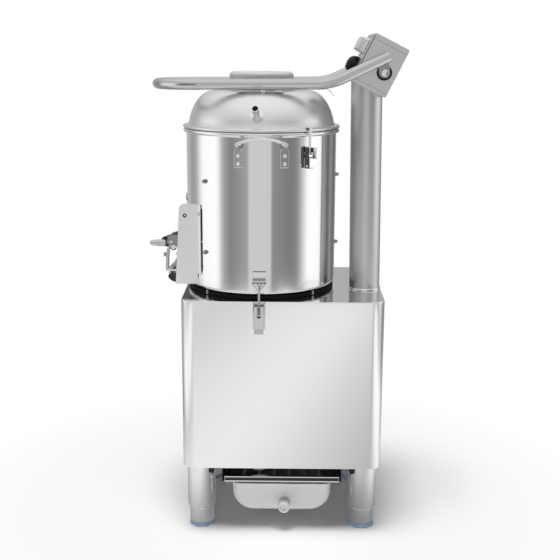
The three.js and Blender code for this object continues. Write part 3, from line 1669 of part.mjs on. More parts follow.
function wasteParts() {
  add("drain_pipe", drainPipe(), whitePlastic);
  add("tray_rail_frame", railFrame(), darkSteel);
  add("filter_tray", filterTray(), brightSteel);
  add("waste_basin", wasteBasin(), whitePlastic);
}

function cableGland() {
  const wall = cabinetDepth / 2;
  const inside = wall - cabinetSheet - glandNutSheet;
  return turned([
    [glandBore, -glandReach],
    [glandRadius, -glandReach],
    [glandNut, -glandReach + glandNutSheet / 2],
    [glandNut, -seatGap],
    [glandRadius, -seatGap],
    [glandRadius, wall - inside],
    [glandBore, wall - inside],
  ], smallSides, chain(shift(glandX, wall, glandZ), turnX(90)));
}

legsAndFeet();
add("base_shell", cabinetShell(), steel);
add("base_floor", cabinetFloor(), steel);
add("cable_gland", cableGland(), blackPlastic);
drumLatches();
drumParts();
lidClip();
dischargeParts();
lidParts();
columnParts();
driveParts();
wasteParts();

// The origin lies on the floor under the middle of the machine's outer size.
const bounds = new THREE.Box3().setFromObject(peeler);
const middle = bounds.getCenter(new THREE.Vector3());
peeler.position.set(-middle.x, -middle.y, -bounds.min.z);

export default peeler;
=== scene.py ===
import json
import math

import bmesh
import bpy
from mathutils import Matrix, Vector


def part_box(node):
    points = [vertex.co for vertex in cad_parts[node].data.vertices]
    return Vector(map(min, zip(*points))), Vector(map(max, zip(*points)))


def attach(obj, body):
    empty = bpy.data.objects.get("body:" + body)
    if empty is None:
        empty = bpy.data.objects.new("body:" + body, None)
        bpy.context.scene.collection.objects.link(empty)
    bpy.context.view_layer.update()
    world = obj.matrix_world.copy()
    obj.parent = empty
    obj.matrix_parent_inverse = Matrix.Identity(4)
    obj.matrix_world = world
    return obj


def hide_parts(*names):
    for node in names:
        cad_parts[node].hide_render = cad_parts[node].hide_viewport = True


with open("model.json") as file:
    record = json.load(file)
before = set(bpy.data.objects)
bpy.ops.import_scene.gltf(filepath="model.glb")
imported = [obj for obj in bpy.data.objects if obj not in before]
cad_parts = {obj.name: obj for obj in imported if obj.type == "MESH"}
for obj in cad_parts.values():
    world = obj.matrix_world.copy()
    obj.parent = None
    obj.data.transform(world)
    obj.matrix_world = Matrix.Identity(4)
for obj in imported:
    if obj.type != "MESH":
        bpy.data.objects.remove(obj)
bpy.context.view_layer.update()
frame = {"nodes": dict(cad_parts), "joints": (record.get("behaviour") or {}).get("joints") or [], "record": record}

# Pieces are drawn in millimetres about the point on the floor under the cabinet's middle.
# The frame's origin is under the middle of the whole outer size, so a finished piece moves over.
MM = 0.001
DRUM_X = -44.0
joints = {joint["name"]: joint for joint in frame["joints"]}
FRAME_SHIFT = joints["disc_spin"]["pos_m"][0] - DRUM_X * MM
SIDES = ((-1, "near"), (1, "far"))

# Cabinet, legs and feet
CABINET_SIZE = (382, 320, 330)
CABINET_BOTTOM = 135
CABINET_TOP = CABINET_BOTTOM + CABINET_SIZE[2]
CABINET_CORNER = 24
CABINET_EDGE = 2
SHEET = 2
HUB_HOLE = 52
DRAIN_HOLE = 17
DRAIN_Y = -113
LEG_RADIUS = 27
LEG_BOTTOM = 41
LEG_PLACES = {
    "front_left": (-158, -113),
    "front_right": (158, -113),
    "rear_left": (-158, 113),
    "rear_right": (158, 113),
}
FOOT_RADIUS = 23.5
FOOT_STEM = 16
STEM_TOP = 72
PAD_HEIGHT = 6.5

# Drum
DRUM_RADIUS = 145
DRUM_WALL = 2.5
DRUM_BOTTOM = 473
DRUM_TOP = 774.5
DRUM_EDGE = 8
DRUM_HUB = (24, 26.5, 495)
RIM_RADIUS = 151
RIM_HEIGHT = 8
OPENING_HALF = 66
OPENING = (491, 598)
BOLT_PLACES = ((-135, 547), (-135, 681.5), (0, 551), (0, 684.5), (135, 547), (135, 681.5))
STUD_ANGLES = (-134, -45.5, 45.5, 134)
STUD_RING = 143.4
LINER = (500, 760)
LINER_GAP = 0.3
LINER_COAT = 3.5

# Lid
LID_BOTTOM = 775
BRIM_RADIUS = 151.5
BRIM_SHEET = 6
DOME_RADIUS = 140.5
DOME_SHOULDER = (138.5, 806)
DOME_BROW = (121, 846)
DOME_FLAT = 90
DOME_TOP = 846
WINDOW_RADIUS = 63
WINDOW_HOLE = 56
WINDOW_TOP = 881
INLET_X = -5
INLET_LEVEL = 804.5
INLET_RISE = 32

# Lid handle
HANDLE_RADIUS = 10
HANDLE_HALF = 95
HANDLE_LEVEL = 860
HANDLE_TIP = -253
HANDLE_DROP = 2.5
HANDLE_BEND = 84
HANDLE_RISE = 25
HANDLE_END = 191.5
SADDLE_X = 34
SADDLE_Y = 87
SADDLE_TOP = 854
LUG_FACE = 82.6
PIVOT = Vector((184, 0, 880.6))

# Column and control box. In the box's own frame X goes into the box, Z up the panel.
COLUMN_FOOT = Vector((160, -34, 465))
COLUMN_LEAN = 0.65
COLUMN_RADIUS = 29.7
BOX_CORNER = Vector((187, 0, 834.3))
BOX_TILT = 26.4
BOX_THICKNESS = 71.5
BOX_LENGTH = 97
BOX_HALF = 75
KNOB_CENTRE = 29
KNOB_RADIUS = 17
BOOT_CENTRE = 69.5
BOOT_HALF = 14

# Fittings of the drum
LIFT_REACH = 41.5
LIFT_LEVEL = 758
LATCH_PIVOT = (-167, 456)
HOOK_PIVOT = (-167, 440)
CLIP_ANGLE = -56.5
CLIP_SHIFT = 7.6
CLIP_PIVOT = 744

# Discharge chute
CHEEK_FACE = 80
CHUTE_LEFT = -197.5
CHUTE_BACK = -191
CHUTE_TOP = 636
CHUTE_LOW = 480.5
CHUTE_ROOF = 602
FLANGE_LOW = 502
LATCH_HALF = 7.4

# Smoothness of round pieces
ROUND = 96
DRUM_STEPS = 144
TUBE = 32
WIRE = 16


def unselect():
    if bpy.context.object and bpy.context.object.mode != "OBJECT":
        bpy.ops.object.mode_set(mode="OBJECT")
    bpy.ops.object.select_all(action="DESELECT")


def only(piece):
    """Makes one piece the selected and active one."""
    unselect()
    piece.select_set(True)
    bpy.context.view_layer.objects.active = piece


def begin(name, primitive, **settings):
    """Adds a primitive as the start of a piece and opens it for editing, all selected."""
    unselect()
    primitive(**settings)
    piece = bpy.context.object
    piece.name = name
    bpy.ops.object.transform_apply(location=True, rotation=True, scale=True)
    bpy.ops.object.mode_set(mode="EDIT")
    bpy.ops.mesh.select_mode(type="VERT")
    bpy.ops.mesh.select_all(action="SELECT")
    return piece


def close(piece):
    """Ends the editing of a piece."""
    bpy.ops.object.mode_set(mode="OBJECT")
    return piece


def open_box(name, low, high):
    """A box from its low to its high corner, open for editing."""
    low, high = Vector(low), Vector(high)
    return begin(name, bpy.ops.mesh.primitive_cube_add, size=1, location=(low + high) / 2,
                 scale=high - low)


def pick(piece, kind, test):
    """Selects the verts, edges or faces whose middle passes the test."""
    bpy.ops.mesh.select_mode(type=kind)
    bpy.ops.mesh.select_all(action="DESELECT")
    mesh = bmesh.from_edit_mesh(piece.data)
    if kind == "VERT":
        for vertex in mesh.verts:
            vertex.select_set(bool(test(vertex.co)))
    elif kind == "EDGE":
        for edge in mesh.edges:
            a, b = (vertex.co for vertex in edge.verts)
            if test((a + b) / 2, (b - a).normalized()):
                edge.select_set(True)
    else:
        for face in mesh.faces:
            if test(face.calc_center_median(), face.normal):
                face.select_set(True)
    bmesh.update_edit_mesh(piece.data)


def bevel(width, steps, affect="EDGES"):
    bpy.ops.mesh.bevel(offset=width, segments=steps, affect=affect)


def draw_out(x, y, z):
    bpy.ops.mesh.extrude_region_move(TRANSFORM_OT_translate={"value": (x, y, z)})


def all_out():
    """Merges doubled points and turns every face outwards."""
    bpy.ops.mesh.select_mode(type="VERT")
    bpy.ops.mesh.select_all(action="SELECT")
    bpy.ops.mesh.remove_doubles(threshold=0.001)
    bpy.ops.mesh.normals_make_consistent(inside=False)


def block(name, start, end, rounds=0.0, steps=3):
    """A box between two opposite corners, with all its edges rounded."""
    pairs = list(zip(start, end))
    piece = open_box(name, [min(pair) for pair in pairs], [max(pair) for pair in pairs])
    if rounds:
        bevel(rounds, steps)
    return close(piece)


def folded(name, *plates):
    """Small plates kept as one piece, each given by two corners and how round its edges are."""
    return joined(name, *[block("fold", low, high, rounds, 2) for low, high, rounds in plates])


def drawn_line(name, points):
    """A chain of edges, drawn by extruding one point from place to place."""
    piece = begin(name, bpy.ops.mesh.primitive_plane_add, size=1)
    bpy.ops.mesh.merge(type="CENTER")
    here = Vector(points[0])
    bpy.ops.transform.translate(value=here)
    for point in points[1:]:
        there = Vector(point)
        bpy.ops.mesh.extrude_vertices_move(TRANSFORM_OT_translate={"value": there - here})
        here = there
    return piece


def round_corners(piece, points, corners, steps):
    """Rounds chosen points of an outline or line, each given as its number and its reach."""
    for number, reach in (corners or {}).items():
        spot = Vector(points[number])
        pick(piece, "VERT", lambda co: (co - spot).length < 0.01)
        bevel(reach, steps, "VERTICES")


def plate(name, axis, level, thick, outline, corners=None, steps=5, edge=0.0):
    """A sheet piece square to an axis: an outline at a level, filled and drawn out."""
    number = "XYZ".index(axis)
    points = [(*spot[:number], level, *spot[number:]) for spot in outline]
    piece = drawn_line(name, points)
    bpy.ops.mesh.select_all(action="SELECT")
    bpy.ops.mesh.edge_face_add()
    round_corners(piece, points, corners, steps)
    bpy.ops.mesh.select_all(action="SELECT")
    draw_out(*[thick if i == number else 0 for i in range(3)])
    all_out()
    close(piece)
    if edge:
        soften(piece, edge)
    return piece


def turned(name, outline, centre=(0, 0), steps=ROUND):
    """A round piece: an outline of radius and height, spun about an upright axis."""
    x, y = centre
    piece = drawn_line(name, [(x + radius, y, height) for radius, height in outline])
    bpy.ops.mesh.select_all(action="SELECT")
    bpy.ops.mesh.spin(steps=steps, angle=math.tau, center=(x, y, 0), axis=(0, 0, 1))
    all_out()
    return close(piece)


def bent_rod(name, points, radius, corners=None, steps=8, sides=WIRE):
    """A rod or tube along a line with rounded corners, and closed ends."""
    piece = drawn_line(name, points)
    round_corners(piece, points, corners, steps)
    close(piece)
    bpy.ops.object.convert(target="CURVE")
    curve = bpy.context.object.data
    curve.bevel_depth = radius
    curve.bevel_resolution = sides // 4
    curve.use_fill_caps = True
    bpy.ops.object.convert(target="MESH")
    bpy.ops.object.mode_set(mode="EDIT")
    all_out()
    return close(bpy.context.object)


def rod(name, start, end, radius, sides=24, edge=0.0):
    """A straight round rod between two points."""
    start, end = Vector(start), Vector(end)
    along = end - start
    outline = [(0, 0), (radius, 0), (radius, along.length), (0, along.length)]
    if edge:
        outline = [(0, 0), (radius - edge, 0), (radius, edge), (radius, along.length - edge),
                   (radius - edge, along.length), (0, along.length)]
    piece = turned(name, outline, steps=sides)
    aim = along.to_track_quat("Z", "Y").to_matrix().to_4x4()
    return place(piece, Matrix.Translation(start) @ aim)


def modify(piece, kind, **settings):
    """Adds a modifier with its settings to a piece."""
    modifier = piece.modifiers.new(kind.lower(), kind)
    for name, value in settings.items():
        setattr(modifier, name, value)
    return modifier


def apply(piece, kind, **settings):
    only(piece)
    bpy.ops.object.modifier_apply(modifier=modify(piece, kind, **settings).name)


def soften(piece, width, segments=2, angle=30):
    """Rounds the sharp edges of a piece."""
    apply(piece, "BEVEL", width=width, segments=segments, limit_method="ANGLE",
          angle_limit=math.radians(angle))


def cut(piece, *tools):
    """Takes the tools out of a piece, and the tools away."""
    for tool in tools:
        apply(piece, "BOOLEAN", operation="DIFFERENCE", object=tool)
        bpy.data.objects.remove(tool)
    return piece


def joined(name, *pieces):
    """Several solids kept as one piece."""
    unselect()
    for piece in pieces:
        piece.select_set(True)
    bpy.context.view_layer.objects.active = pieces[0]
    bpy.ops.object.join()
    pieces[0].name = name
    return pieces[0]


def place(piece, matrix):
    """Moves a piece from its own drawing frame to where the matrix puts it."""
    only(piece)
    piece.matrix_world = matrix
    bpy.ops.object.transform_apply(location=True, rotation=True, scale=True)
    return piece


def shift(x, y, z):
    return Matrix.Translation((x, y, z))


def turn(degrees, axis, about=(0, 0, 0)):
    """A turn about an axis through a point."""
    spot = shift(*about)
    return spot @ Matrix.Rotation(math.radians(degrees), 4, axis) @ spot.inverted()


ON_DRUM = shift(DRUM_X, 0, 0)
BOX_FRAME = Matrix.Translation(BOX_CORNER) @ turn(BOX_TILT, "Y")
HOME = shift(FRAME_SHIFT, 0, 0) @ Matrix.Diagonal((MM, MM, MM, 1))


def settle(piece, body, finish, slot, *nodes, at=None, smooth=35):
    """Brings a drawn piece into the frame, smooths it and lets it ride on its body."""
    if at is not None:
        place(piece, at)
    place(piece, HOME)
    bpy.ops.object.shade_smooth_by_angle(angle=math.radians(smooth))
    apply(piece, "WEIGHTED_NORMAL", keep_sharp=True)
    piece.data.materials.clear()
    piece.data.materials.append(finish)
    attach(piece, body)
    if nodes:
        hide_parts(*nodes)


# Finishes

class Value:
    """A node's output, which adds Math nodes when it is used in a sum."""

    def __init__(self, nodes, socket):
        self.nodes = nodes
        self.socket = socket

    def other(self, name):
        """Another output of the same node."""
        return Value(self.nodes, self.socket.node.outputs[name])

    def sum(self, operation, first, second):
        return self.nodes.node("ShaderNodeMath", {0: first, 1: second}, operation=operation)

    def __add__(self, value):
        return self.sum("ADD", self, value)

    def __mul__(self, value):
        return self.sum("MULTIPLY", self, value)

    def __sub__(self, value):
        return self.sum("SUBTRACT", self, value)

    def __rsub__(self, value):
        return self.sum("SUBTRACT", value, self)

    __radd__ = __add__
    __rmul__ = __mul__


class Nodes:
    """A node tree that nodes are added to, each with its settings and inputs."""

    def __init__(self, tree):
        self.tree = tree

    def node(self, kind, inputs=None, out=0, stops=None, **settings):
        node = self.tree.nodes.new(kind)
        for name, value in settings.items():
            setattr(node, name, value)
        if stops:
            ramp = node.color_ramp.elements
            while len(ramp) < len(stops):
                ramp.new(0.5)
            for element, (position, level) in zip(ramp, stops):
                element.position = position
                element.color = (level, level, level, 1)
        for name, value in (inputs or {}).items():
            if isinstance(value, Value):
                self.tree.links.new(value.socket, node.inputs[name])
            else:
                node.inputs[name].default_value = value
        return Value(self, node.outputs[out])

    def blend(self, share, low, high):
        """A colour from low to high by a share from 0 to 1."""
        low, high = (end if isinstance(end, Value) else (*end, 1) for end in (low, high))
        return self.node("ShaderNodeMix", {0: share, 6: low, 7: high}, out=2, data_type="RGBA")

    def fade(self, value, start, end, low=0.0, high=1.0):
        """A number that goes from low to high while the value goes from start to end."""
        return self.node("ShaderNodeMapRange", {
            "Value": value, "From Min": start, "From Max": end, "To Min": low, "To Max": high})


class Finish(Nodes):
    """One material: a shader with its constants, and the nodes that vary over the surface."""

    def __init__(self, name, **constants):
        self.material = bpy.data.materials.new(name)
        self.material.use_nodes = True
        super().__init__(self.material.node_tree)
        self.shader = self.tree.nodes["Principled BSDF"]
        for socket, value in constants.items():
            self.shader.inputs[socket.replace("_", " ")].default_value = value

    def put(self, socket, value):
        self.tree.links.new(value.socket, self.shader.inputs[socket])

    def noise(self, scale, detail=3.0, roughness=0.5, grain=(1, 1, 1)):
        """A noise in the piece's own space, which the grain may stretch."""
        spot = self.node("ShaderNodeTexCoord", out="Object")
        spot = self.node("ShaderNodeMapping", {"Vector": spot, "Scale": grain})
        return self.node("ShaderNodeTexNoise", {
            "Vector": spot, "Scale": scale, "Detail": detail, "Roughness": roughness})

    def bump(self, height, strength, distance=0.0002):
        self.put("Normal", self.node("ShaderNodeBump", {
            "Height": height, "Strength": strength, "Distance": distance}))


def shades(color, less, more):
    """A darker and a lighter shade of a colour, up to white."""
    return [tuple(min(1.0, c * factor) for c in color) for factor in (less, more)]


def steel(name, grain, tone, rough, streak=0.08, smudge=0.03):
    """Stainless sheet: fine streaks along the grain, faint clouds and handling marks."""
    finish = Finish(name, Metallic=1.0)
    lines = finish.noise(1.0, 2.0, grain=grain)
    clouds = finish.noise(9.0, 2.0)
    marks = finish.noise(26.0, 4.0, 0.55)
    low, high = rough
    dark, light = tone * 0.98, tone * 1.02
    finish.put("Base Color", finish.blend(
        lines * 0.5 + clouds * 0.5, (dark, dark, tone * 0.984), (light, light, light)))
    grey = (lines * 0.35 + clouds * 0.65) * (high - low) + low
    finish.put("Roughness", grey + (marks - 0.5) * smudge)
    finish.bump(lines, streak, distance=0.00003)
    return finish.material


def plastic(name, color, rough, depth=0.08, spread=0.06, specular=0.5, **constants):
    """Moulded plastic or rubber: a faint mottle and a fine grain."""
    finish = Finish(name, Specular_IOR_Level=specular, **constants)
    clouds = finish.noise(28.0)
    fine = finish.noise(900.0, 2.0)
    finish.put("Base Color", finish.blend(clouds, *shades(color, 1 - spread, 1 + spread)))
    finish.put("Roughness", clouds * 0.12 + (rough - 0.06))
    finish.bump(fine, depth)
    return finish.material


def grit(name):
    """Bonded abrasive: sharp grains of several greys."""
    finish = Finish(name)
    spot = finish.node("ShaderNodeTexCoord", out="Object")
    cells = finish.node("ShaderNodeTexVoronoi", {"Vector": spot, "Scale": 420.0})
    fine = finish.noise(1500.0)
    finish.put("Base Color", finish.blend(
        cells * 0.7 + fine * 0.5, (0.10, 0.09, 0.08), (0.42, 0.39, 0.34)))
    finish.put("Roughness", fine * 0.2 + 0.72)
    finish.bump(cells + fine, 0.9, distance=0.0009)
    return finish.material


def cast(name, color, metallic=0.0, rough=0.55):
    """Cast or painted metal with a shallow orange peel."""
    finish = Finish(name, Metallic=metallic)
    peel = finish.noise(240.0, 4.0)
    clouds = finish.noise(22.0)
    finish.put("Base Color", finish.blend(clouds, *shades(color, 0.85, 1.12)))
    finish.put("Roughness", peel * 0.2 + (rough - 0.1))
    finish.bump(peel, 0.3, distance=0.0003)
    return finish.material


# The grain of a sheet is fine across it and long along it. A cast or pressed fitting has none.
UPRIGHT, ALONG_X, PRESSED = (300, 300, 8), (8, 300, 300), (160, 160, 160)
CABINET = steel("cabinet_sheet", (420, 420, 8), 0.83, (0.09, 0.13), streak=0.04, smudge=0.02)
TUBE_STEEL = steel("satin_tube", (400, 400, 10), 0.82, (0.09, 0.14), streak=0.10)
COLUMN_STEEL = steel("satin_column", UPRIGHT, 0.64, (0.36, 0.44))
HANDLE_STEEL = steel("handle_tube", (10, 300, 300), 0.54, (0.07, 0.11), streak=0.05)
DRUM_STEEL = steel("drum_sheet", (360, 360, 5), 0.80, (0.07, 0.11), streak=0.05)
DOME_STEEL = steel("dome_sheet", (60, 60, 60), 0.80, (0.32, 0.39), streak=0.06)
SHEET_STEEL = steel("satin_sheet", ALONG_X, 0.60, (0.24, 0.32), streak=0.06)
CHEEK_STEEL = steel("cheek_sheet", UPRIGHT, 0.80, (0.16, 0.22), streak=0.04)
LEVER_STEEL = steel("lever_sheet", (160, 160, 40), 0.62, (0.16, 0.24))
# Near-black steel that paints shade: bolt sockets and heads, the clip's shaded side, seams, edge lines and the
# chute's floor.
PAINTED_SHADE_STEEL = steel("steel_painted_for_shade", (160, 160, 40), 0.10, (0.2, 0.3))
BRIGHT = steel("bright_fittings", PRESSED, 0.80, (0.10, 0.17))
LUG_STEEL = steel("lug_sheet", PRESSED, 0.36, (0.28, 0.34))
BOLT_DARK = steel("dark_bolts", PRESSED, 0.36, (0.28, 0.4), streak=0.3)
CAST_ZINC = cast("cast_zinc", (0.60, 0.60, 0.61), 0.9, 0.38)
HUB = cast("cast_hub", (0.34, 0.34, 0.35), 0.9, 0.36)
CAST_IRON = cast("cast_iron", (0.27, 0.27, 0.28), 0.7)
MOTOR_PAINT = cast("motor_paint", (0.13, 0.16, 0.20), rough=0.4)
# Black for the tray's rails and the groove of its lip: painted shade for the dark under the cabinet and in the
# groove.
PAINTED_SHADE_BLACK = cast("black_paint", (0.022, 0.022, 0.024), rough=0.45)
RUBBER = plastic("black_rubber", (0.008, 0.008, 0.009), 0.6, 0.1, 0.2, 0.12)
BUMPER = plastic("bumper_rubber", (0.007, 0.007, 0.008), 0.16, 0.03, 0.2)
BLACK_PLASTIC = plastic("black_plastic", (0.010, 0.010, 0.011), 0.34, 0.08, 0.2, 0.2)
WHITE_PLASTIC = plastic("white_plastic", (0.80, 0.80, 0.795), 0.36, spread=0.02)
FROSTED = plastic("frosted_plastic", (0.90, 0.905, 0.905), 0.3, spread=0.02, Alpha=0.88)
BOOT = plastic("frosted_boot", (0.88, 0.885, 0.885), 0.42, spread=0.02)
GREEN = plastic("green_plastic", (0.04, 0.36, 0.11), 0.3)
RED = plastic("red_plastic", (0.52, 0.035, 0.025), 0.3)
BLUE_FILM = plastic("blue_pad", (0.30, 0.42, 0.62), 0.4)
GRIT = grit("abrasive")

SLOT_FINISHES = {
    "cabinet_steel": CABINET, "tube_steel": TUBE_STEEL, "drum_steel": DRUM_STEEL,
    "sheet_steel": SHEET_STEEL, "fittings": BRIGHT, "cast_zinc": CAST_ZINC, "cast_iron": CAST_IRON,
    "black_rubber": RUBBER, "black_plastic": BLACK_PLASTIC, "white_plastic": WHITE_PLASTIC,
    "clear_plastic": FROSTED, "green_plastic": GREEN, "red_plastic": RED,
    "black_paint": PAINTED_SHADE_BLACK, "motor_paint": MOTOR_PAINT, "abrasive_coat": GRIT,
}


def dress_frame():
    """Gives every node of the frame the finish of its slot, and softer edges."""
    for part in frame["record"]["subparts"]:
        node = frame["nodes"][part["node"]]
        node.data.materials.clear()
        node.data.materials.append(SLOT_FINISHES[part["material_slot"]])
        modify(node, "WELD", merge_threshold=0.00002)
        modify(node, "BEVEL", width=0.0004, segments=2, limit_method="ANGLE",
               angle_limit=math.radians(40), harden_normals=True)
        for face in node.data.polygons:
            face.use_smooth = True


# Cabinet, legs and feet

def cabinet():
    """A box of sheet, open below, with rounded upright corners and holes for hub and drain."""
    half_x, half_y = CABINET_SIZE[0] / 2, CABINET_SIZE[1] / 2
    piece = open_box("cabinet", (-half_x, -half_y, CABINET_BOTTOM), (half_x, half_y, CABINET_TOP))
    pick(piece, "EDGE", lambda middle, along: abs(along.z) > 0.9)
    bevel(CABINET_CORNER, 10)
    pick(piece, "EDGE", lambda middle, along: middle.z > CABINET_TOP - 0.1)
    bevel(CABINET_EDGE, 5)
    pick(piece, "FACE", lambda middle, normal: normal.z < -0.9)
    bpy.ops.mesh.delete(type="FACE")
    apply(piece, "SOLIDIFY", thickness=SHEET, offset=-1)
    low, high = CABINET_TOP - 25, CABINET_TOP + 15
    for radius, y, steps in ((HUB_HOLE, 0, 48), (DRAIN_HOLE, DRAIN_Y, 32)):
        outline = [(0, low), (radius, low), (radius, high), (0, high)]
        cut(piece, turned("hole", outline, (DRUM_X, y), steps))
    settle(piece, "frame", CABINET, "cabinet_steel", "base_shell")


def leg(where, x, y):
    top = CABINET_BOTTOM + 1.7
    inner = LEG_RADIUS - SHEET
    guide = FOOT_STEM + 3
    guide_top = LEG_BOTTOM + 9
    piece = turned("leg_tube_" + where, [
        (inner, top), (inner, guide_top), (guide, guide_top), (guide, LEG_BOTTOM),
        (LEG_RADIUS - 1, LEG_BOTTOM), (LEG_RADIUS, LEG_BOTTOM + 1), (LEG_RADIUS, top), (inner, top),
    ], (x, y), 64)
    settle(piece, "frame", TUBE_STEEL, "tube_steel", "leg_" + where)


def foot(where, x, y):
    """A tube on its stem, and an eight-sided rubber pad below."""
    body = f"foot_{where}_body"
    collar = LEG_BOTTOM - 1
    piece = turned("foot_tube_" + where, [
        (0, PAD_HEIGHT - 1), (FOOT_RADIUS - 3, PAD_HEIGHT - 1), (FOOT_RADIUS, PAD_HEIGHT + 2),
        (FOOT_RADIUS, collar - 2), (FOOT_RADIUS - 1, collar), (FOOT_STEM, collar),
        (FOOT_STEM, STEM_TOP), (0, STEM_TOP),
    ], (x, y), 64)
    settle(piece, body, TUBE_STEEL, "tube_steel", "foot_" + where)
    reach = FOOT_RADIUS + 1.6
    top = PAD_HEIGHT + 1
    pad = turned("foot_pad_" + where, [
        (0, 0), (reach - 1.5, 0), (reach, 1.5), (reach, top), (FOOT_RADIUS - 2, top),
        (0, PAD_HEIGHT)], (x, y), 8)
    settle(pad, body, BLUE_FILM, "tube_steel", at=turn(22.5, "Z", (x, y, 0)), smooth=20)


# Drum

def arc(centre, radius, start, stop, steps):
    """Points on an arc, from one angle in degrees to another."""
    angles = [math.radians(start + (stop - start) * i / steps) for i in range(steps + 1)]
    x, y = centre
    return [(x + radius * math.cos(angle), y + radius * math.sin(angle)) for angle in angles]


def mouth():
    """The tool that opens the drum towards the chute."""
    return block("mouth", (DRUM_X - 160, -OPENING_HALF, OPENING[0]),
                 (DRUM_X - 90, OPENING_HALF, OPENING[1]))


def drum():
    """The drum with its beaded rim, the collar of the hub and the mouth, and its black seat."""
    inner = DRUM_RADIUS - DRUM_WALL
    floor = DRUM_BOTTOM + DRUM_WALL
    bead = RIM_HEIGHT / 2
    hub_inner, hub_outer, hub_top = DRUM_HUB
    piece = turned("drum_shell", [
        (hub_inner, DRUM_BOTTOM),
        *arc((DRUM_RADIUS - DRUM_EDGE, DRUM_BOTTOM + DRUM_EDGE), DRUM_EDGE, -90, 0, 6),
        (DRUM_RADIUS, DRUM_TOP - RIM_HEIGHT - 1.5),
        *arc((RIM_RADIUS - bead, DRUM_TOP - bead), bead, -110, 90, 12),
        (inner, DRUM_TOP), (inner, floor + 4), (inner - 4, floor),
        (hub_outer, floor), (hub_outer, hub_top), (hub_inner, hub_top), (hub_inner, DRUM_BOTTOM),
    ], (DRUM_X, 0), DRUM_STEPS)
    settle(cut(piece, mouth()), "frame", DRUM_STEEL, "drum_steel", "drum")
    # The black seat ring is real, drawn wider than the part so that its black also paints the shade under the
    # drum's rounded bottom.
    ring = turned("seat_ring", [
        (132, 465.3), (142.4, 465.3), (143, 466), (143, 472), (142.4, 472.7), (132, 472.7),
        (132, 465.3)], (DRUM_X, 0))
    settle(ring, "frame", RUBBER, "black_rubber", "drum_seat_ring")


def drum_liner():
    """The grit coat inside the drum, with the mouth of the chute left open."""
    low, high = LINER
    outer = DRUM_RADIUS - DRUM_WALL - LINER_GAP
    inner = outer - LINER_COAT
    piece = turned("grit_liner", [
        (outer, low), (outer, high), (inner, high), (inner, low), (outer, low)], (DRUM_X, 0))
    settle(cut(piece, mouth()), "frame", GRIT, "abrasive_coat", "drum_liner")


def drum_bolts():
    """Bolts with washers through the drum's wall, and studs between drum and cabinet."""
    profile = ((0, 6.6), (2.2, 6.4), (3.2, 5), (3.4, 1.4), (4.4, 1.2), (4.4, 0.3), (2.6, 0.3),
               (2.6, -1), (0, -1))
    for angle, level in BOLT_PLACES:
        bolt = turned(f"drum_bolt_{angle % 360}_{int(level)}",
                      [(radius, DRUM_RADIUS + out) for radius, out in profile], steps=24)
        settle(bolt, "frame", BOLT_DARK, "fittings",
               at=shift(DRUM_X, 0, level) @ turn(angle, "Z") @ turn(90, "Y"))
    for number, angle in enumerate(STUD_ANGLES):
        stud = turned(f"drum_stud_{number}", [(0, 466.5), (2.6, 466.5), (2.6, 474), (0, 474)],
                      steps=20)
        settle(stud, "frame", BOLT_DARK, "fittings",
               at=ON_DRUM @ turn(angle, "Z") @ shift(STUD_RING, 0, 0))


# Lid

def dome_curve(inset, steps=14):
    """The dome's outline: a cubic curve from the brim to the flat top."""
    a = Vector((DOME_RADIUS - inset, LID_BOTTOM + BRIM_SHEET))
    b = Vector((DOME_SHOULDER[0] - inset, DOME_SHOULDER[1] - inset / 2))
    c = Vector((DOME_BROW[0] - inset / 2, DOME_BROW[1] - inset))
    d = Vector((DOME_FLAT, DOME_TOP - inset))
    points = []
    for i in range(steps + 1):
        t = i / steps
        s = 1 - t
        points.append(tuple(a * s ** 3 + b * 3 * s * s * t + c * 3 * s * t * t + d * t ** 3))
    return points


def lid():
    """The dome with its beaded brim and the hole below the window."""
    wall = 2
    bead = BRIM_SHEET / 2
    piece = turned("lid_dome", [
        (DOME_RADIUS - wall, LID_BOTTOM),
        *arc((BRIM_RADIUS - bead, LID_BOTTOM + bead), bead, -90, 90, 8),
        (DOME_RADIUS + 1.5, LID_BOTTOM + BRIM_SHEET),
        *dome_curve(0)[1:],
        (WINDOW_HOLE, DOME_TOP),
        (WINDOW_HOLE, DOME_TOP - wall),
        *reversed(dome_curve(wall)),
        (DOME_RADIUS - wall, LID_BOTTOM),
    ], (DRUM_X, 0), DRUM_STEPS)
    settle(piece, "lid", DOME_STEEL, "drum_steel", "lid_shell", smooth=50)


def lid_window():
    """The frosted cap on the dome: a thin cup with a rounded edge and a small hem."""
    low = DOME_TOP + 0.3
    wall = 3
    edge = 8
    round_middle = (WINDOW_RADIUS - edge - 1.5, WINDOW_TOP - edge)
    piece = turned("lid_cap", [
        (WINDOW_RADIUS - wall, low), (WINDOW_RADIUS + 4, low), (WINDOW_RADIUS + 4, low + 2),
        (WINDOW_RADIUS, low + 3),
        *arc(round_middle, edge, 0, 90, 8),
        (0, WINDOW_TOP), (0, WINDOW_TOP - wall),
        *arc(round_middle, edge - wall, 90, 0, 6),
        (WINDOW_RADIUS - wall, low),
    ], (DRUM_X, 0))
    settle(piece, "lid", FROSTED, "clear_plastic", "lid_window", smooth=50)


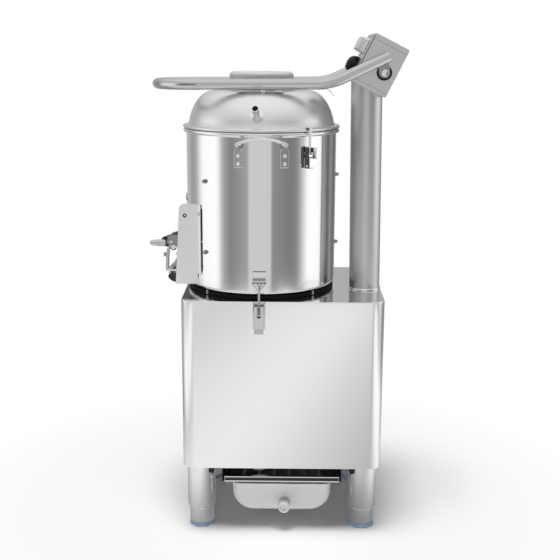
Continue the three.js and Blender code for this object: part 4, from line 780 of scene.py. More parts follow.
def water_inlet():
    """The nipple on the dome with its hexagon nut, washer and dark bore."""
    nipple = turned("nipple", [
        (5.3, -10), (6.6, -10), (6.6, 25.4), (6.2, 26.4), (5.3, 26.4), (5.3, -10)], steps=TUBE)
    nut = close(begin("nut", bpy.ops.mesh.primitive_cylinder_add, vertices=6, radius=10.5, depth=7,
                      location=(0, 0, 3)))
    soften(nut, 0.8)
    cut(nut, turned("bore", [(0, -12), (5.4, -12), (5.4, 40), (0, 40)], steps=24))
    washer = turned("washer", [(6, -1), (12, -1), (12, 0.8), (6, 0.8), (6, -1)], steps=TUBE)
    piece = joined("inlet", nipple, nut, washer)
    # The bore is a black plug that fills the nipple to just below its top, painted shade for the inside of the
    # tube.
    bore = turned("inlet_bore", [(0, -9), (5.2, -9), (5.2, 25.2), (0, 24.6)], steps=TUBE)
    outward = math.sqrt(DOME_RADIUS ** 2 - INLET_X ** 2) - (INLET_LEVEL - LID_BOTTOM) / 6
    spot = (ON_DRUM @ shift(INLET_X, -outward, INLET_LEVEL) @ turn(-6, "Z")
            @ turn(90 - INLET_RISE, "X"))
    settle(piece, "lid", BRIGHT, "fittings", "water_inlet", at=spot)
    settle(bore, "lid", RUBBER, "black_rubber", at=spot)


# Lid handle: a bent tube that also carries the lid on its pivot

def lid_handle():
    rise = math.radians(HANDLE_RISE)
    end_level = HANDLE_LEVEL + (HANDLE_END - HANDLE_BEND) * math.tan(rise)
    half = [(HANDLE_END, -HANDLE_HALF, end_level), (HANDLE_BEND, -HANDLE_HALF, HANDLE_LEVEL),
            (HANDLE_TIP + HANDLE_RADIUS, -HANDLE_HALF, HANDLE_LEVEL - HANDLE_DROP)]
    line = half + [(x, -y, z) for x, y, z in reversed(half)]
    tip_bend = HANDLE_HALF - 0.01
    piece = bent_rod("handle_tube", line, HANDLE_RADIUS, {1: 22, 4: 22, 2: tip_bend, 3: tip_bend},
                     steps=20, sides=TUBE)
    settle(piece, "lid", HANDLE_STEEL, "tube_steel", "lid_handle", smooth=40)
    wire = bent_rod("safety_wire", [
        (77, -95, 851.5), (84, -94, 848), (89, -93, 842), (91, -92, 838)],
        0.7, {1: 3, 2: 3}, steps=3, sides=12)
    settle(wire, "lid", BRIGHT, "fittings")
    knob = turned("handle_button", [
        (0, 844.5), (4.2, 844.5), (4.2, 849), (2.8, 850.5), (0, 850.8)], (-39, -94), 24)
    settle(knob, "lid", BRIGHT, "fittings")
    for side, where in SIDES:
        lid_lug(side, where)
        for along, end in ((-1, "left"), (1, "right")):
            lid_saddle(side, along, f"saddle_{where}_{end}")


def lid_lug(side, where):
    """The ear that hangs from the tube, with the bright head of the pivot bolt and its socket."""
    x, z = PIVOT.x, PIVOT.z
    piece = plate("lid_lug_" + where, "Y", LUG_FACE * side, 5 * side, [
        (x - 9.8, z - 9.4), (x + 9.8, z - 9.4), (x + 9.8, z + 6), (x + 4, z + 23), (x - 12, z + 16),
    ], {0: 9.3, 1: 9.3, 2: 6}, steps=10, edge=0.6)
    settle(piece, "lid", LUG_STEEL, "tube_steel")
    out = 87.8
    # The socket is a dark six-sided disc of painted shade for the hollow in the bolt's head.
    for name, start, end, radius, sides, edge, finish in (
            ("bolt", out, out + 2.4, 5.6, 32, 0.8, BRIGHT),
            ("socket", out + 2, out + 2.6, 2.7, 6, 0, PAINTED_SHADE_STEEL)):
        piece = rod(f"lug_{name}_{where}", (x, start * side, z), (x, end * side, z),
                    radius, sides, edge)
        settle(piece, "lid", finish, "fittings")


def lid_saddle(side, along, name):
    """A small block between the dome's shoulder and the handle, hidden behind the tube."""
    x, y = DRUM_X + along * SADDLE_X, side * SADDLE_Y
    piece = open_box(name, (x - 7, y - 4, DOME_TOP - 3), (x + 7, y + 4, SADDLE_TOP))
    pick(piece, "FACE", lambda middle, normal: normal.z < -0.9)
    bpy.ops.transform.resize(value=(1.3, 1.2, 1))
    close(piece)
    soften(piece, 1.0)
    settle(piece, "lid", SHEET_STEEL, "tube_steel")


# Column and control box

def column():
    """The leaning tube, cut to the slope of the control box, and the ring at its foot."""
    slope_room = 34
    top = BOX_CORNER.z - CABINET_TOP + slope_room
    inner = COLUMN_RADIUS - SHEET
    upright = Matrix.Translation(COLUMN_FOOT) @ turn(-COLUMN_LEAN, "Y")
    tube = turned("column_tube", [
        (inner, 0), (COLUMN_RADIUS, 0), (COLUMN_RADIUS, top), (inner, top), (inner, 0)])
    place(tube, upright)
    room = place(block("room", (-BOX_THICKNESS - 30, -100, 0.3), (40, 100, 160)), BOX_FRAME)
    settle(cut(tube, room), "frame", COLUMN_STEEL, "tube_steel", "column")
    ring = turned("column_ring", [(COLUMN_RADIUS + out, level) for out, level in (
        (0, 0), (1.5, 0), (1.5, 2), (0.6, 3.2), (0, 3.2), (0, 0))])
    settle(ring, "frame", BRIGHT, "tube_steel", at=upright)


def control_box():
    """A box open at its back, the cover that closes it, the folds of its two sides, and dark strips that paint the
    shadow at the panel's edge and the shade along the folds.
    """
    piece = open_box("control_housing", (-BOX_THICKNESS, -BOX_HALF, 0), (0, BOX_HALF, BOX_LENGTH))
    pick(piece, "EDGE", lambda middle, along: abs(along.y) > 0.9)
    bevel(4, 5)
    pick(piece, "FACE", lambda middle, normal: normal.x > 0.9)
    bpy.ops.mesh.inset(thickness=SHEET, depth=0)
    draw_out(-BOX_THICKNESS + 4, 0, 0)
    close(piece)
    soften(piece, 0.6, angle=50)
    settle(piece, "frame", SHEET_STEEL, "cabinet_steel", "control_box", at=BOX_FRAME)
    back = block("control_rear_cover", (-2, -72.7, 2.3), (0, 72.7, 94.7), 0.6)
    settle(back, "frame", SHEET_STEEL, "cabinet_steel", "control_box_back", at=BOX_FRAME)
    left = -BOX_THICKNESS + 3.4
    top_fold, bottom_fold = BOX_LENGTH - 9.5, 7
    # The panel's edge strip and the two thin lines below the folds are painted shadow and shade; the folds stand
    # proud.
    strips = (
        ("panel_edge_painted_shadow", (-BOX_THICKNESS + 1.3, 6), (-BOX_THICKNESS + 2.9, BOX_LENGTH - 5), 0.2,
         0, PAINTED_SHADE_STEEL),
        ("top_fold", (left, top_fold), (-1.3, BOX_LENGTH - 0.6), 0.5, 0.2, SHEET_STEEL),
        ("top_fold_painted_shade", (left, top_fold - 0.8), (-0.8, top_fold), 0.25, 0, BOLT_DARK),
        ("bottom_fold", (left, 0.6), (-1.3, bottom_fold), 0.5, 0.2, SHEET_STEEL),
        ("bottom_fold_painted_shade", (left, bottom_fold), (-0.8, bottom_fold + 0.8), 0.25, 0, BOLT_DARK),
    )
    for side, where in SIDES:
        for name, (x0, z0), (x1, z1), proud, rounds, finish in strips:
            strip = block(f"{name}_{where}", (x0, side * BOX_HALF, z0),
                          (x1, side * (BOX_HALF + proud), z1), rounds, 2)
            settle(strip, "frame", finish, "cabinet_steel", at=BOX_FRAME)


def timer_knob():
    """A flared knob with a raised mark on its cap."""
    knob = turned("knob", [
        (0, 0.5), (KNOB_RADIUS, 0.5), (KNOB_RADIUS + 0.6, 2.5), (KNOB_RADIUS + 0.4, 5),
        (KNOB_RADIUS - 0.8, 9.5), (KNOB_RADIUS - 3.2, 13.8), (KNOB_RADIUS - 7, 17),
        (KNOB_RADIUS - 11.5, 18.6), (0, 19)], steps=64)
    mark = block("mark", (-0.9, KNOB_RADIUS * 0.3, 14), (0.9, KNOB_RADIUS * 0.62, 18.2), 0.4, 2)
    spot = BOX_FRAME @ shift(-BOX_THICKNESS, 0, KNOB_CENTRE) @ turn(-90, "Y") @ turn(90, "Z")
    settle(joined("timer_grip", knob, mark), "knob", BLACK_PLASTIC, "black_plastic", "timer_knob",
           at=spot, smooth=50)


def button_boot():
    """The frosted cover over the two buttons, rounded in front, with a flat hem."""
    back = -BOX_THICKNESS - 0.3
    shell = open_box("boot", (back - 17, -29, BOOT_CENTRE - BOOT_HALF),
                     (back, 29, BOOT_CENTRE + BOOT_HALF))
    pick(shell, "EDGE", lambda middle, along: middle.x < -BOX_THICKNESS - 2)
    bevel(4.5, 5)
    close(shell)
    reach = BOOT_HALF + 1.5
    hem = block("hem", (back - 1.6, -32, BOOT_CENTRE - reach), (back, 32, BOOT_CENTRE + reach), 0.6)
    settle(joined("button_cover", shell, hem), "frame", BOOT, "clear_plastic", "button_boot",
           at=BOX_FRAME)


# Fittings of the drum: lifting handles, draw latches and the clip of the lid

def lifting_handle(where, matrix):
    """A flat arch of wire between two riveted plates with round tops."""
    high = LIFT_LEVEL
    half = [(LIFT_REACH + 2, -156.5, high - 3.5), (LIFT_REACH - 4, -157.5, high),
            (18, -158.5, high + 6)]
    line = [(-x, y, z) for x, y, z in half] + half[::-1]
    parts = [bent_rod("wire", line, 2.4, {2: 14, 3: 14}, steps=5)]
    face = -DRUM_RADIUS - 2.6
    for side, end in ((-1, "left"), (1, "right")):
        x = side * LIFT_REACH
        around = turn(math.degrees(math.asin(x / DRUM_RADIUS)), "Z")
        parts.append(bent_rod("knuckle", [
            (x + 5 * side, -155.6, high - 5.4), (x + 1.5 * side, -156.4, high - 3.4),
            (x - 4 * side, -157.4, high - 0.4)], 3.7, {1: 2}, steps=3))
        bed = plate("bed", "Y", face, 2.4, [(-8.4, 711), (8.4, 711), (8.4, 747), (-8.4, 747)],
                    {2: 7.8, 3: 7.8}, edge=1.1)
        parts.append(place(bed, around))
        for level in (718.3, 733):
            rivet = turned("rivet", [(0, 2.2), (2.2, 1.7), (3.4, 0.6), (3.6, 0), (0, 0)], steps=20)
            parts.append(place(rivet, around @ shift(0, face, level) @ turn(90, "X")))
        # The necks take the dark bolt steel as painted shade where the wire goes down to the plates.
        neck = bent_rod(f"handle_neck_{where}_{end}", [
            (x * 0.985, -141.5, 745.5), (x, -150, 750), (x + 1.5 * side, -155.8, high - 5)],
            3.4, {1: 3}, steps=3)
        settle(neck, "frame", BOLT_DARK, "fittings", at=matrix)
    settle(joined("lift_" + where, *parts), "frame", BRIGHT, "fittings", "lifting_handle_" + where,
           at=matrix)


def draw_latch(where, matrix):
    """The toggle between cabinet and drum: bed and pin, slotted lever, wire hook and its keeper."""
    sheet = plate("keeper", "Y", -145.2, -1.8, [
        (-12.2, 499.7), (12.2, 499.7), (13.2, 511), (12.2, 519.5), (-12.2, 519.5), (-13.2, 511),
    ], edge=0.5)
    ledge = plate("ledge", "X", -10, 20, [
        (-145.5, 499.7), (-163, 499.7), (-163, 502.2), (-161.6, 502.2), (-161.6, 501.3),
        (-145.5, 501.3)], edge=0.3)
    settle(joined("keeper_" + where, sheet, ledge), "frame", CHEEK_STEEL, "fittings", at=matrix)
    bed = block("bed", (-11.6, -161.8, 413), (11.6, -160.1, 466), 0.5, 2)
    ears = [plate("ear", "X", x, 1.7, [(-161, 446), (-174.5, 446), (-174.5, 461.5), (-161, 466)],
                  {2: 4, 1: 3}, edge=0.4) for x in (-11.4, 9.7)]
    settle(joined("latch_bed_" + where, bed, *ears), "frame", LEVER_STEEL, "fittings", at=matrix)
    # Thin strips of painted shade along the keeper's top and front edges.
    for name, low, high, near in (("top", 518.6, 519.8, -147.3), ("front", 500, 501.6, -163.3)):
        line = block(f"keeper_{name}_{where}", (-12, near, low), (12, near + 1.2, high), 0.3, 2)
        settle(line, "frame", PAINTED_SHADE_STEEL, "fittings", at=matrix)
    pin = rod("latch_pin_" + where, (-11.8, *LATCH_PIVOT), (11.8, *LATCH_PIVOT), 1.9, 20, 0.4)
    settle(pin, "frame", BOLT_DARK, "fittings", at=matrix)

    front = -172.2
    cover = plate("cover", "Y", front, -1.5, [(-8.7, 416), (8.7, 416), (9, 459), (-9, 459)],
                  edge=0.4)
    slot = block("slot", (-3.4, -176, 445), (3.4, -170, 465))
    hole = rod("hole", (0, -176, 441), (0, -170, 441), 4.2, 24)
    cut(cover, slot, hole)
    tip = plate("tip", "X", -8.7, 17.4, [
        (front, 416.5), (front - 1.5, 416.5), (-176.4, 407.5), (-175.8, 406.8), (front, 414)],
        edge=0.4)
    flanges = [block("flange", (x, -172.8, 416), (x + 1.5, -163.5, 459), 0.4, 2) for x in (-9, 7.5)]
    settle(joined("draw_lever_" + where, cover, tip, *flanges), where + "_lever", LEVER_STEEL,
           "fittings", f"drum_latch_{where}_lever", at=matrix)

    cross = rod("cross", (-7.2, 0, 0), (7.2, 0, 0), 2, 20, 0.4)
    shank = rod("shank", (0, 0, 0), (0, 0, 47), 2, 20)
    wire = bent_rod("wire", [
        (0, 0, 46), (12.2, 0, 60), (12.2, 0, 64), (-12.2, 0, 64), (-12.2, 0, 60), (0, 0, 46)],
        1.5, {2: 1.6, 3: 1.6}, steps=3)
    hook = joined("draw_hook_" + where, cross, shank, wire)
    settle(hook, where + "_hook", LEVER_STEEL, "fittings", f"drum_latch_{where}_hook",
           at=matrix @ shift(0, *HOOK_PIVOT) @ turn(-7, "X"))


def lid_clip():
    """The clip of the lid: a lever on the drum's wall and a strip that reaches over the brim."""
    spot = ON_DRUM @ turn(CLIP_ANGLE + 90, "Z") @ shift(CLIP_SHIFT, -DRUM_RADIUS, CLIP_PIVOT)
    # The bed and the lever's left side are painted shade steel, for the shade on that side of the clip.
    bed = folded("clip_bed", ((-4.4, -1.4, -34), (4.4, 0.2, 3), 0.4),
                 *[((x, -13, -6), (x + 1.2, 0, 3), 0.4) for x in (-4.4, 3.2)])
    settle(bed, "frame", PAINTED_SHADE_STEEL, "fittings", at=spot)
    web = folded("clip_lever_web", ((3.6, -16.5, -15), (9.4, -15, 2.6), 0.4),
                 ((4, -20, -14.6), (8.8, -16.2, -2), 0.8),
                 ((-4.7, -16.4, -35), (-3.3, -12, -14.5), 0.3),
                 ((-4.2, -16.4, -35), (5.4, -14.9, -33), 0.3))
    settle(web, "clip_lever", BRIGHT, "fittings", "lid_clip_lever", at=spot)
    side = folded("clip_lever_shaded_side", ((-5.8, -13, -35), (-4.6, -1.6, 2.6), 0.3),
                  ((-5.8, -6.4, -16.8), (10.4, -4.9, -14.6), 0.3),
                  ((9.2, -16.3, -16.8), (10.4, -4.9, 2.6), 0.3),
                  ((3.6, -16.3, -16.8), (10.4, -14.8, -14.9), 0.3))
    settle(side, "clip_lever", PAINTED_SHADE_STEEL, "fittings", at=spot)
    bolt = rod("clip_bolt", (-7.4, -10, -30.5), (-5.2, -10, -30.5), 2.4, 20, 0.5)
    settle(bolt, "clip_lever", BRIGHT, "fittings", at=spot)
    top = LID_BOTTOM + BRIM_SHEET + 0.4 - CLIP_PIVOT
    strip = plate("strip", "X", -2.8, 5.6, [
        (-10.6, -9), (-9.2, -9), (-9.2, top), (-1, top), (-1, top + 1.5), (-10.6, top + 1.5)],
        {5: 1.2}, edge=0.3)
    pin = rod("pin", (-3.8, -10, -9), (3.8, -10, -9), 1.9, 20, 0.4)
    settle(joined("clip_strip", strip, pin), "clip_hook", BRIGHT, "fittings", "lid_clip_hook",
           at=spot)
    # A dark block of painted shadow beside the top of the strip.
    edge = block("clip_strip_painted_shadow", (-4, -10.7, top - 3), (-2.9, -1.2, top + 1.4), 0.2, 1)
    settle(edge, "clip_hook", PAINTED_SHADE_STEEL, "fittings", at=spot)


# Discharge: chute, door and the door's latch

def wall_line(radius, low, high, steps=10):
    """Points on the drum side's wall line, seen from above, between two places across."""
    spots = [low + (high - low) * i / steps for i in range(steps + 1)]
    return [(DRUM_X - math.sqrt(radius ** 2 - y ** 2), y) for y in spots]


def chute():
    """Two cheeks with flanges against the drum, inner walls, roof and floor, and a small hook."""
    reach = DRUM_RADIUS + 0.35
    parts = []
    for side, where in SIDES:
        face, thick = CHEEK_FACE * side, 2 * side
        cheek = plate("cheek", "Y", face, thick, [
            (-207, CHUTE_LOW), (-160.8, CHUTE_LOW), (-162, FLANGE_LOW), (-165.5, FLANGE_LOW),
            (-165.5, CHUTE_TOP), (CHUTE_LEFT, CHUTE_TOP)], {5: 10}, edge=0.6)
        flange = plate("flange", "Z", FLANGE_LOW, CHUTE_TOP - FLANGE_LOW,
                       wall_line(reach, face, 93.6 * side)
                       + wall_line(reach + 2, face + side, 94.1 * side)[::-1], edge=0.4)
        hem = block("hem", (-167.5, face, FLANGE_LOW), (-160.8, 87.5 * side, CHUTE_TOP - 0.3),
                    0.2, 1)
        tab = plate("tab", "Y", face, thick, [
            (-223.2, 505), (-220.2, 505), (-220.2, 506.2), (-205, 506.2), (-205, 509.2),
            (-223.2, 509.2)], edge=0.3)
        parts.append(joined("chute_side", cheek, hem, flange, tab))
        for number, (start, stop) in enumerate(((508, 564), (567, 628))):
            bead = plate(f"chute_seal_{where}_{number}", "Z", start, stop - start,
                         wall_line(reach - 0.1, 94.3 * side, 95.5 * side, 3)
                         + wall_line(reach + 0.9, 94.5 * side, 95.7 * side, 3)[::-1])
            settle(bead, "frame", RUBBER, "black_rubber")
        # Black rods along the cheek's edge at the drum and along the notch paint the shade in these gaps.
        notch_shade_rod = rod("notch_shade_rod", (-163.4, 82.8 * side, 501.6), (-160.6, 83 * side, 481.6), 0.9, 12)
        ledge = rod("ledge", (-166.5, 83 * side, 502.2), (-157.5, 88.2 * side, 502.2), 0.7, 12)
        settle(joined("chute_notch_" + where, notch_shade_rod, ledge), "frame", RUBBER, "black_rubber")
    base, roof = (plate(name, "Z", level, 2, [
        (CHUTE_BACK, -half), *wall_line(reach, -half, half, 24), (CHUTE_BACK, half)], edge=0.3)
        for name, half, level in (("chute_floor", 79.8, CHUTE_LOW), ("chute_roof", 72, CHUTE_ROOF)))
    # The floor is painted shade steel, for the shade under the chute.
    settle(base, "frame", PAINTED_SHADE_STEEL, "sheet_steel")
    walls = [block("wall", (CHUTE_BACK, 70 * side, 482), (-170.4, 72 * side, 602.4))
             for side in (-1, 1)]
    settle(joined("chute_body", *parts, roof, *walls), "frame", CHEEK_STEEL, "sheet_steel",
           "chute_frame")
    hook = bent_rod("chute_hook", [
        (-184.5, -6, 650), (-190.4, -6, 645.5), (-191, -6, 634), (-188, -6, 628)],
        1, {1: 4, 2: 4}, steps=4, sides=12)
    settle(hook, "frame", BOLT_DARK, "fittings")


def door():
    """The sheet with its hinge ears, the brackets of the latch, and the rubber round the door."""
    back = -197.6
    parts = [block("panel", (back, -78, 484.5), (-195.6, 78, 604), 0.5, 2)]
    for side, where in SIDES:
        inner = 76 * side
        parts.append(plate("ear", "Y", inner, 2 * side, [
            (back, 590), (-195.6, 590), (-181.5, 608), (-181.5, 620), (back, 617)],
            {3: 4, 2: 3}, edge=0.3))
        parts.append(rod("pin", (-187.5, inner, 614), (-187.5, 83 * side, 614), 3, 24))
        bracket = plate("latch_bracket_" + where, "Y", 23.2 * side, 2.6 * side, [
            (-196.2, 541), (-196.2, 567), (-214, 565.5), (-226, 561), (-230, 554.5),
            (-228, 547.5), (-212, 544.5)], {2: 8, 3: 5, 4: 4, 5: 3}, edge=1)
        settle(bracket, "door", HUB, "fittings")
        # Each hinge bolt's head is painted shade steel, with a small bright disc on it as a painted highlight.
        for name, x, z, start, end, radius, sides, edge, finish in (
                ("bolt", -187.4, 613.6, 82.3, 84.6, 3.9, 32, 0.9, PAINTED_SHADE_STEEL),
                ("spot", -186.8, 614.2, 84.2, 84.9, 1.5, 16, 0.3, BRIGHT)):
            head = rod(f"hinge_{name}_{where}", (x, start * side, z), (x, end * side, z),
                       radius, sides, edge)
            settle(head, "door", finish, "fittings")
    settle(joined("door_sheet", *parts), "door", CHEEK_STEEL, "sheet_steel", "discharge_door")

    gasket = block("gasket", (-195.3, -74, 482.4), (-191.3, 74, 604.3), 0.6, 2)
    cut(gasket, block("opening", (-199, -64, 494), (-189, 64, 594)))
    bumper = plate("bumper", "Y", -74, 148, [
        (-197.9, 482), (-197.9, 499.5), (-212, 500.5), (-221.9, 497), (-221.9, 490), (-211, 482)],
        {3: 3, 4: 5, 5: 5}, edge=0.8)
    cut(bumper, block("room", (-222.5, -90, 500.6), (-212, 90, 506)))
    under = block("under", (-198.6, -74, 482), (-192, 74, 484.2), 0.3, 2)
    settle(joined("door_rubber", gasket, bumper, under), "door", BUMPER, "black_rubber",
           "door_gasket")


def door_latch():
    """The hub with its grip, which turns on the brackets, and the strap that holds the bar."""
    cheeks = [plate("cheek", "Y", start, end - start, [
        (-236, 545), (-238, 551), (-236.5, 556), (-231, 560), (-223, 560.8), (-216, 558.5),
        (-211.5, 553), (-211.5, 548), (-217, 545.4), (-229, 544)],
        {0: 3, 2: 3, 5: 3, 6: 2, 8: 2}, edge=2.2) for start, end in ((-15.4, -8), (8, 15.4))]
    web = block("web", (-237, -9, 544), (-232, 9, 556), 1.5, 3)
    settle(joined("latch_hub", web, *cheeks), "door_lever", HUB, "fittings", "door_latch_lever")
    collar = turned("latch_collar", [
        (0, 15), (5, 14.2), (8.8, 10.8), (10.4, 6), (10.4, 0), (0, 0)], steps=40)
    settle(collar, "door_lever", BLACK_PLASTIC, "black_plastic",
           at=shift(-227.5, -9.5, 550.4) @ turn(-90, "Y"))
    grip = turned("latch_grip", [
        (0, -3), (4.6, -2.4), (6.9, 0), (6.8, 10), (6.1, 19), (4.8, 27.6), (3, 30.4), (0, 31)],
        steps=40)
    settle(grip, "door_lever", CAST_ZINC, "fittings",
           at=shift(-233, -15.5, 548.6) @ turn(-90, "Y"))
    pin = rod("latch_pivot", (-220.5, -26.6, 552), (-220.5, 26.6, 552), 2.6, 24, 0.6)
    settle(pin, "door_lever", BRIGHT, "fittings")

    strap = plate("strap", "Y", -LATCH_HALF, 2 * LATCH_HALF, [
        (-222.5, 551), (-227, 548), (-231.8, 532.7), (-233.4, 520), (-234.6, 492), (-229.2, 491),
        (-228.2, 519), (-226.4, 531.5), (-221.5, 545), (-214.6, 544), (-211, 548),
        (-214.6, 552.4)], {9: 2, 11: 2}, edge=0.7)
    curl = plate("curl", "Y", -LATCH_HALF, 2 * LATCH_HALF, [
        (-234, 491.2), (-229.4, 491), (-216.6, 500.4), (-217.6, 503.2), (-220.4, 503.6)], edge=0.6)
    bar = rod("bar", (-217.5, -83.8, 503.5), (-217.5, 83.8, 503.5), 2.2, 24, 0.5)
    settle(joined("latch_strap", strap, curl, bar), "door_hook", CAST_ZINC, "fittings",
           "door_latch_hook")
    for name, start, end, radius, sides, edge, finish in (
            ("strap_screw", (-238.6, 0, 522), (-232.4, 0, 522), 4, 32, 0.8, BOLT_DARK),
            ("strap_boss", (-218.6, -6.8, 538), (-218.6, 6.8, 538), 6.6, 40, 2.2, BRIGHT),
            ("bar_nut", (-218.5, -6.6, 499.4), (-218.5, 6.6, 499.4), 5.6, 40, 1.2, BRIGHT)):
        settle(rod(name, start, end, radius, sides, edge), "door_hook", finish, "fittings")


# Waste: the tray's rolled lip, and the white basin with its spigot

def tray_lip():
    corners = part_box("filter_tray")
    front = corners[0][1] / MM
    low, high = (corner[2] / MM for corner in corners)
    for name, level, radius in (("upper", high - 0.8, 1.3), ("lower", low + 1.2, 1.7)):
        bead = rod("tray_bead_" + name, (-110.5, front - 0.4, level), (110.5, front - 0.4, level),
                   radius, 20, 0.5)
        settle(bead, "drawer", BRIGHT, "sheet_steel")
    # A black strip in the lip's groove paints its shade.
    groove = block("tray_groove", (-109.5, front + 0.6, low + 2.6),
                   (109.5, front + 1.6, high - 1.6), 0.2, 1)
    settle(groove, "drawer", PAINTED_SHADE_BLACK, "sheet_steel")


def basin():
    """A rounded tub that hangs below the tray, with a spigot in front."""
    half_x, half_y = 97, 132
    spigot_x, spigot_level = 5, 52
    low, high = 30.5, min(91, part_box("filter_tray")[0][2] / MM - 0.2)
    piece = open_box("basin", (-half_x, -half_y, low), (half_x, half_y, high))
    pick(piece, "VERT", lambda co: co.z < 50)
    bpy.ops.transform.resize(value=(0.975, 0.97, 1))
    pick(piece, "EDGE", lambda middle, along: middle.z < 40 and abs(along.y) > 0.9)
    bevel(40, 12)
    pick(piece, "EDGE", lambda middle, along: abs(middle.y) > half_y - 6
         and middle.z < high - 0.5 and abs(along.y) < 0.5)
    bevel(15, 6)
    pick(piece, "FACE", lambda middle, normal: normal.z > 0.9 and middle.z > high - 1)
    bpy.ops.mesh.delete(type="FACE")
    apply(piece, "SOLIDIFY", thickness=3, offset=-1)
    spigot = turned("spigot", [
        (0, -8), (11.2, -8), (11.2, 24), (10, 26), (8.6, 26), (8, 25), (7.8, 21), (0, 20)],
        steps=48)
    place(spigot, shift(spigot_x, -half_y, spigot_level) @ turn(90, "X"))
    settle(joined("waste_tub", piece, spigot), "drawer", WHITE_PLASTIC, "white_plastic",
           "waste_basin", smooth=50)


dress_frame()
cabinet()
for where, (x, y) in LEG_PLACES.items():
    leg(where, x, y)
    foot(where, x, y)
drum()
drum_liner()
drum_bolts()
lid()
lid_window()
water_inlet()
lid_handle()
column()
control_box()
timer_knob()
button_boot()
NEAR = ON_DRUM
FAR = ON_DRUM @ turn(180, "Z")
lifting_handle("near", NEAR @ turn(1.5, "Z"))
lifting_handle("far", FAR)
draw_latch("near", NEAR)
draw_latch("far", FAR)
lid_clip()
chute()
door()
door_latch()
tray_lip()
basin()


# Stage: floor, studio surroundings and camera

def surroundings():
    """White behind the object, and for metal a ring of soft boxes, strips and dark gaps."""
    world = bpy.data.worlds.new("studio")
    bpy.context.scene.world = world
    world.use_nodes = True
    world.node_tree.nodes.clear()
    sky = Nodes(world.node_tree)
    spot = sky.node("ShaderNodeTexCoord", out="Generated")
    x = sky.node("ShaderNodeSeparateXYZ", {"Vector": spot}, out="X")
    height = x.other("Z")
    angle = x.sum("ARCTAN2", x, x.other("Y") * -1.0)
    share = sky.fade(angle, -math.pi, math.pi)
    # How bright each direction is, in degrees to the right of the camera's side
    stops = [(-180, 0.50), (-147, 0.54), (-134, 0.40), (-123, 0.40), (-114, 0.58), (-106, 0.95),
             (-98, 1.2), (-73, 1.25), (-67, 1.04), (-62, 0.64), (-57, 0.43), (-47, 0.28),
             (-37, 0.32), (-27, 0.385), (-19, 0.43), (-17.5, 0.73), (15.5, 0.72), (17.5, 0.33),
             (29, 0.29), (43, 0.245), (53, 0.26), (59, 0.35), (64, 0.55), (70, 0.86), (76, 1.16),
             (82, 1.27), (101, 1.2), (116, 0.55), (150, 0.14), (180, 0.50)]
    ring = sky.node("ShaderNodeValToRGB", {"Fac": share}, stops=[
        ((degrees + 180) / 360, level) for degrees, level in stops])
    up = sky.fade(height, 0.22, 0.42)
    above = sky.fade(height, 0.35, 0.8, 0.62, 1.0)
    glossy = sky.node("ShaderNodeLightPath", out="Is Glossy Ray")
    metal = sky.blend(glossy, (0.07, 0.07, 0.07), sky.blend(up, ring, above))
    seen = x.sum("MAXIMUM", glossy.other("Is Camera Ray"), glossy.other("Is Transmission Ray"))
    white = sky.blend(seen, metal, (1, 1, 1))
    light = sky.node("ShaderNodeBackground", {"Color": white, "Strength": 1.0})
    out = world.node_tree.nodes.new("ShaderNodeOutputWorld")
    world.node_tree.links.new(light.socket, out.inputs["Surface"])


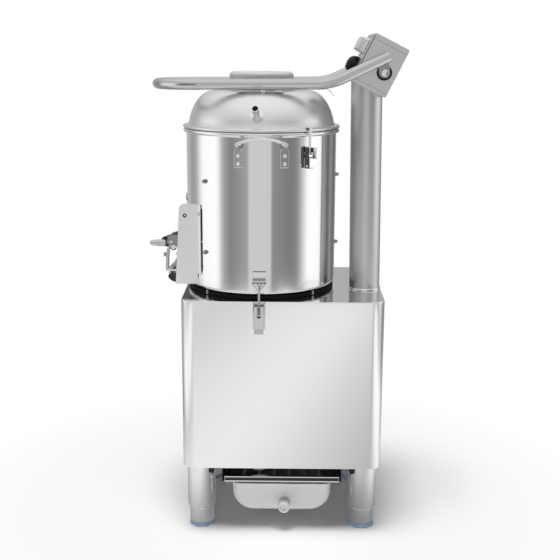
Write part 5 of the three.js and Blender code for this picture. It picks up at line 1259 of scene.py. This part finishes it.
def floor():
    """White paper that keeps the shadow near the object, and shows in metal with a bright ridge."""
    unselect()
    bpy.ops.mesh.primitive_circle_add(vertices=128, radius=2.15, fill_type="NGON",
                                      location=(0, 0, 0))
    piece = bpy.context.object
    piece.name = "studio_floor"
    finish = Finish("floor_paper", Roughness=1.0, Specular_IOR_Level=0.0,
                    Base_Color=(0.98, 0.98, 0.98, 1))
    spot = finish.node("ShaderNodeTexCoord", out="Object")
    reach = finish.node("ShaderNodeVectorMath", {0: spot}, out="Value", operation="LENGTH")
    across = finish.node("ShaderNodeSeparateXYZ", {"Vector": spot})
    along = across.other("Y")
    ridge = across + along * 0.244 + 0.265
    squeeze = 0.3125
    levels = ((-1.6, 0.8), (-1.2, 1.1), (-0.8, 1.1), (-0.48, 0.73), (-0.306, 0.84), (-0.13, 0.95),
              (0.0, 1.0), (0.06, 0.975), (0.1, 0.94), (0.2, 0.81), (0.3, 0.67), (0.36, 0.58),
              (0.5, 0.62), (0.8, 1.1), (1.2, 1.2), (1.6, 0.7))
    bright = finish.node("ShaderNodeValToRGB", {"Fac": ridge * squeeze + 0.5}, stops=[
        (metres * squeeze + 0.5, level) for metres, level in levels])
    # The glow that metal sees is painted reflection light: a bright ridge across the floor, dimmed close to the
    # object as a painted shadow and weaker behind it.
    near = finish.node("ShaderNodeValToRGB", {"Fac": reach}, stops=[
        (0.16, 0.35), (0.3, 0.6), (0.46, 1.0)])
    behind = finish.fade(along, -0.15, 0.35, 1.0, 0.45)
    mirrored = finish.node("ShaderNodeVectorMath", {0: bright, 1: near}, operation="MULTIPLY")
    glow = finish.node("ShaderNodeEmission", {"Color": mirrored, "Strength": behind})
    white = finish.node("ShaderNodeEmission", {"Color": (1, 1, 1, 1), "Strength": 1.0})
    far = finish.fade(reach, 0.38, 0.72)
    glossy = finish.node("ShaderNodeLightPath", out="Is Glossy Ray")
    paper = Value(finish, finish.shader.outputs["BSDF"])
    faded = finish.node("ShaderNodeMixShader", {
        0: far * glossy.other("Is Camera Ray"), 1: paper, 2: white})
    shown = finish.node("ShaderNodeMixShader", {0: glossy, 1: faded, 2: glow})
    output = finish.tree.nodes["Material Output"]
    finish.tree.links.new(shown.socket, output.inputs["Surface"])
    piece.data.materials.append(finish.material)


def lamp(name, kind, spot, aim, power, **settings):
    """A lamp that shines along the aim and doesn't show in metal."""
    unselect()
    bpy.ops.object.light_add(type=kind, location=spot)
    light = bpy.context.object
    light.name = name
    light.data.energy = power
    for setting, value in settings.items():
        setattr(light.data, setting, value)
    light.rotation_mode = "QUATERNION"
    light.rotation_quaternion = Vector(aim).to_track_quat("-Z", "Y")
    light.visible_glossy = False


def camera():
    """The photograph's camera, found from the cabinet's edges, the feet and the drum's rings."""
    focal_pixels = 1000.0
    width_pixels = 560.0
    sensor = 36.0
    yaw, tilt, roll = -0.007224, 0.2226, 0.005643
    middle = (279.5, 281.2)
    data = bpy.data.cameras.new("photo_camera")
    data.sensor_width = sensor
    data.lens = focal_pixels / width_pixels * sensor
    data.shift_x = (width_pixels / 2 - middle[0]) / width_pixels
    data.shift_y = -(width_pixels / 2 - middle[1]) / width_pixels
    data.clip_end = 100
    eye = bpy.data.objects.new("photo_camera", data)
    bpy.context.scene.collection.objects.link(eye)
    level = math.cos(tilt)
    forward = Vector((math.sin(yaw) * level, math.cos(yaw) * level, -math.sin(tilt)))
    right = Vector((math.cos(yaw), -math.sin(yaw), 0))
    up = right.cross(forward)
    across = right * math.cos(roll) + up * math.sin(roll)
    above = up * math.cos(roll) - right * math.sin(roll)
    aim = Matrix((across, above, -forward)).transposed().to_4x4()
    eye.matrix_world = shift(0.00678 + FRAME_SHIFT, -1.958, 0.9118) @ aim
    bpy.context.scene.camera = eye


surroundings()
floor()
lamp("overhead", "SUN", (0, 0, 3), (0.06, 0.12, -1), 2.6, angle=math.radians(24))
lamp("front", "AREA", (-0.3, -2.3, 0.3), (0.3, 2.3, 0), 10, size=0.7)
camera()
bpy.context.scene.view_settings.view_transform = "Standard"
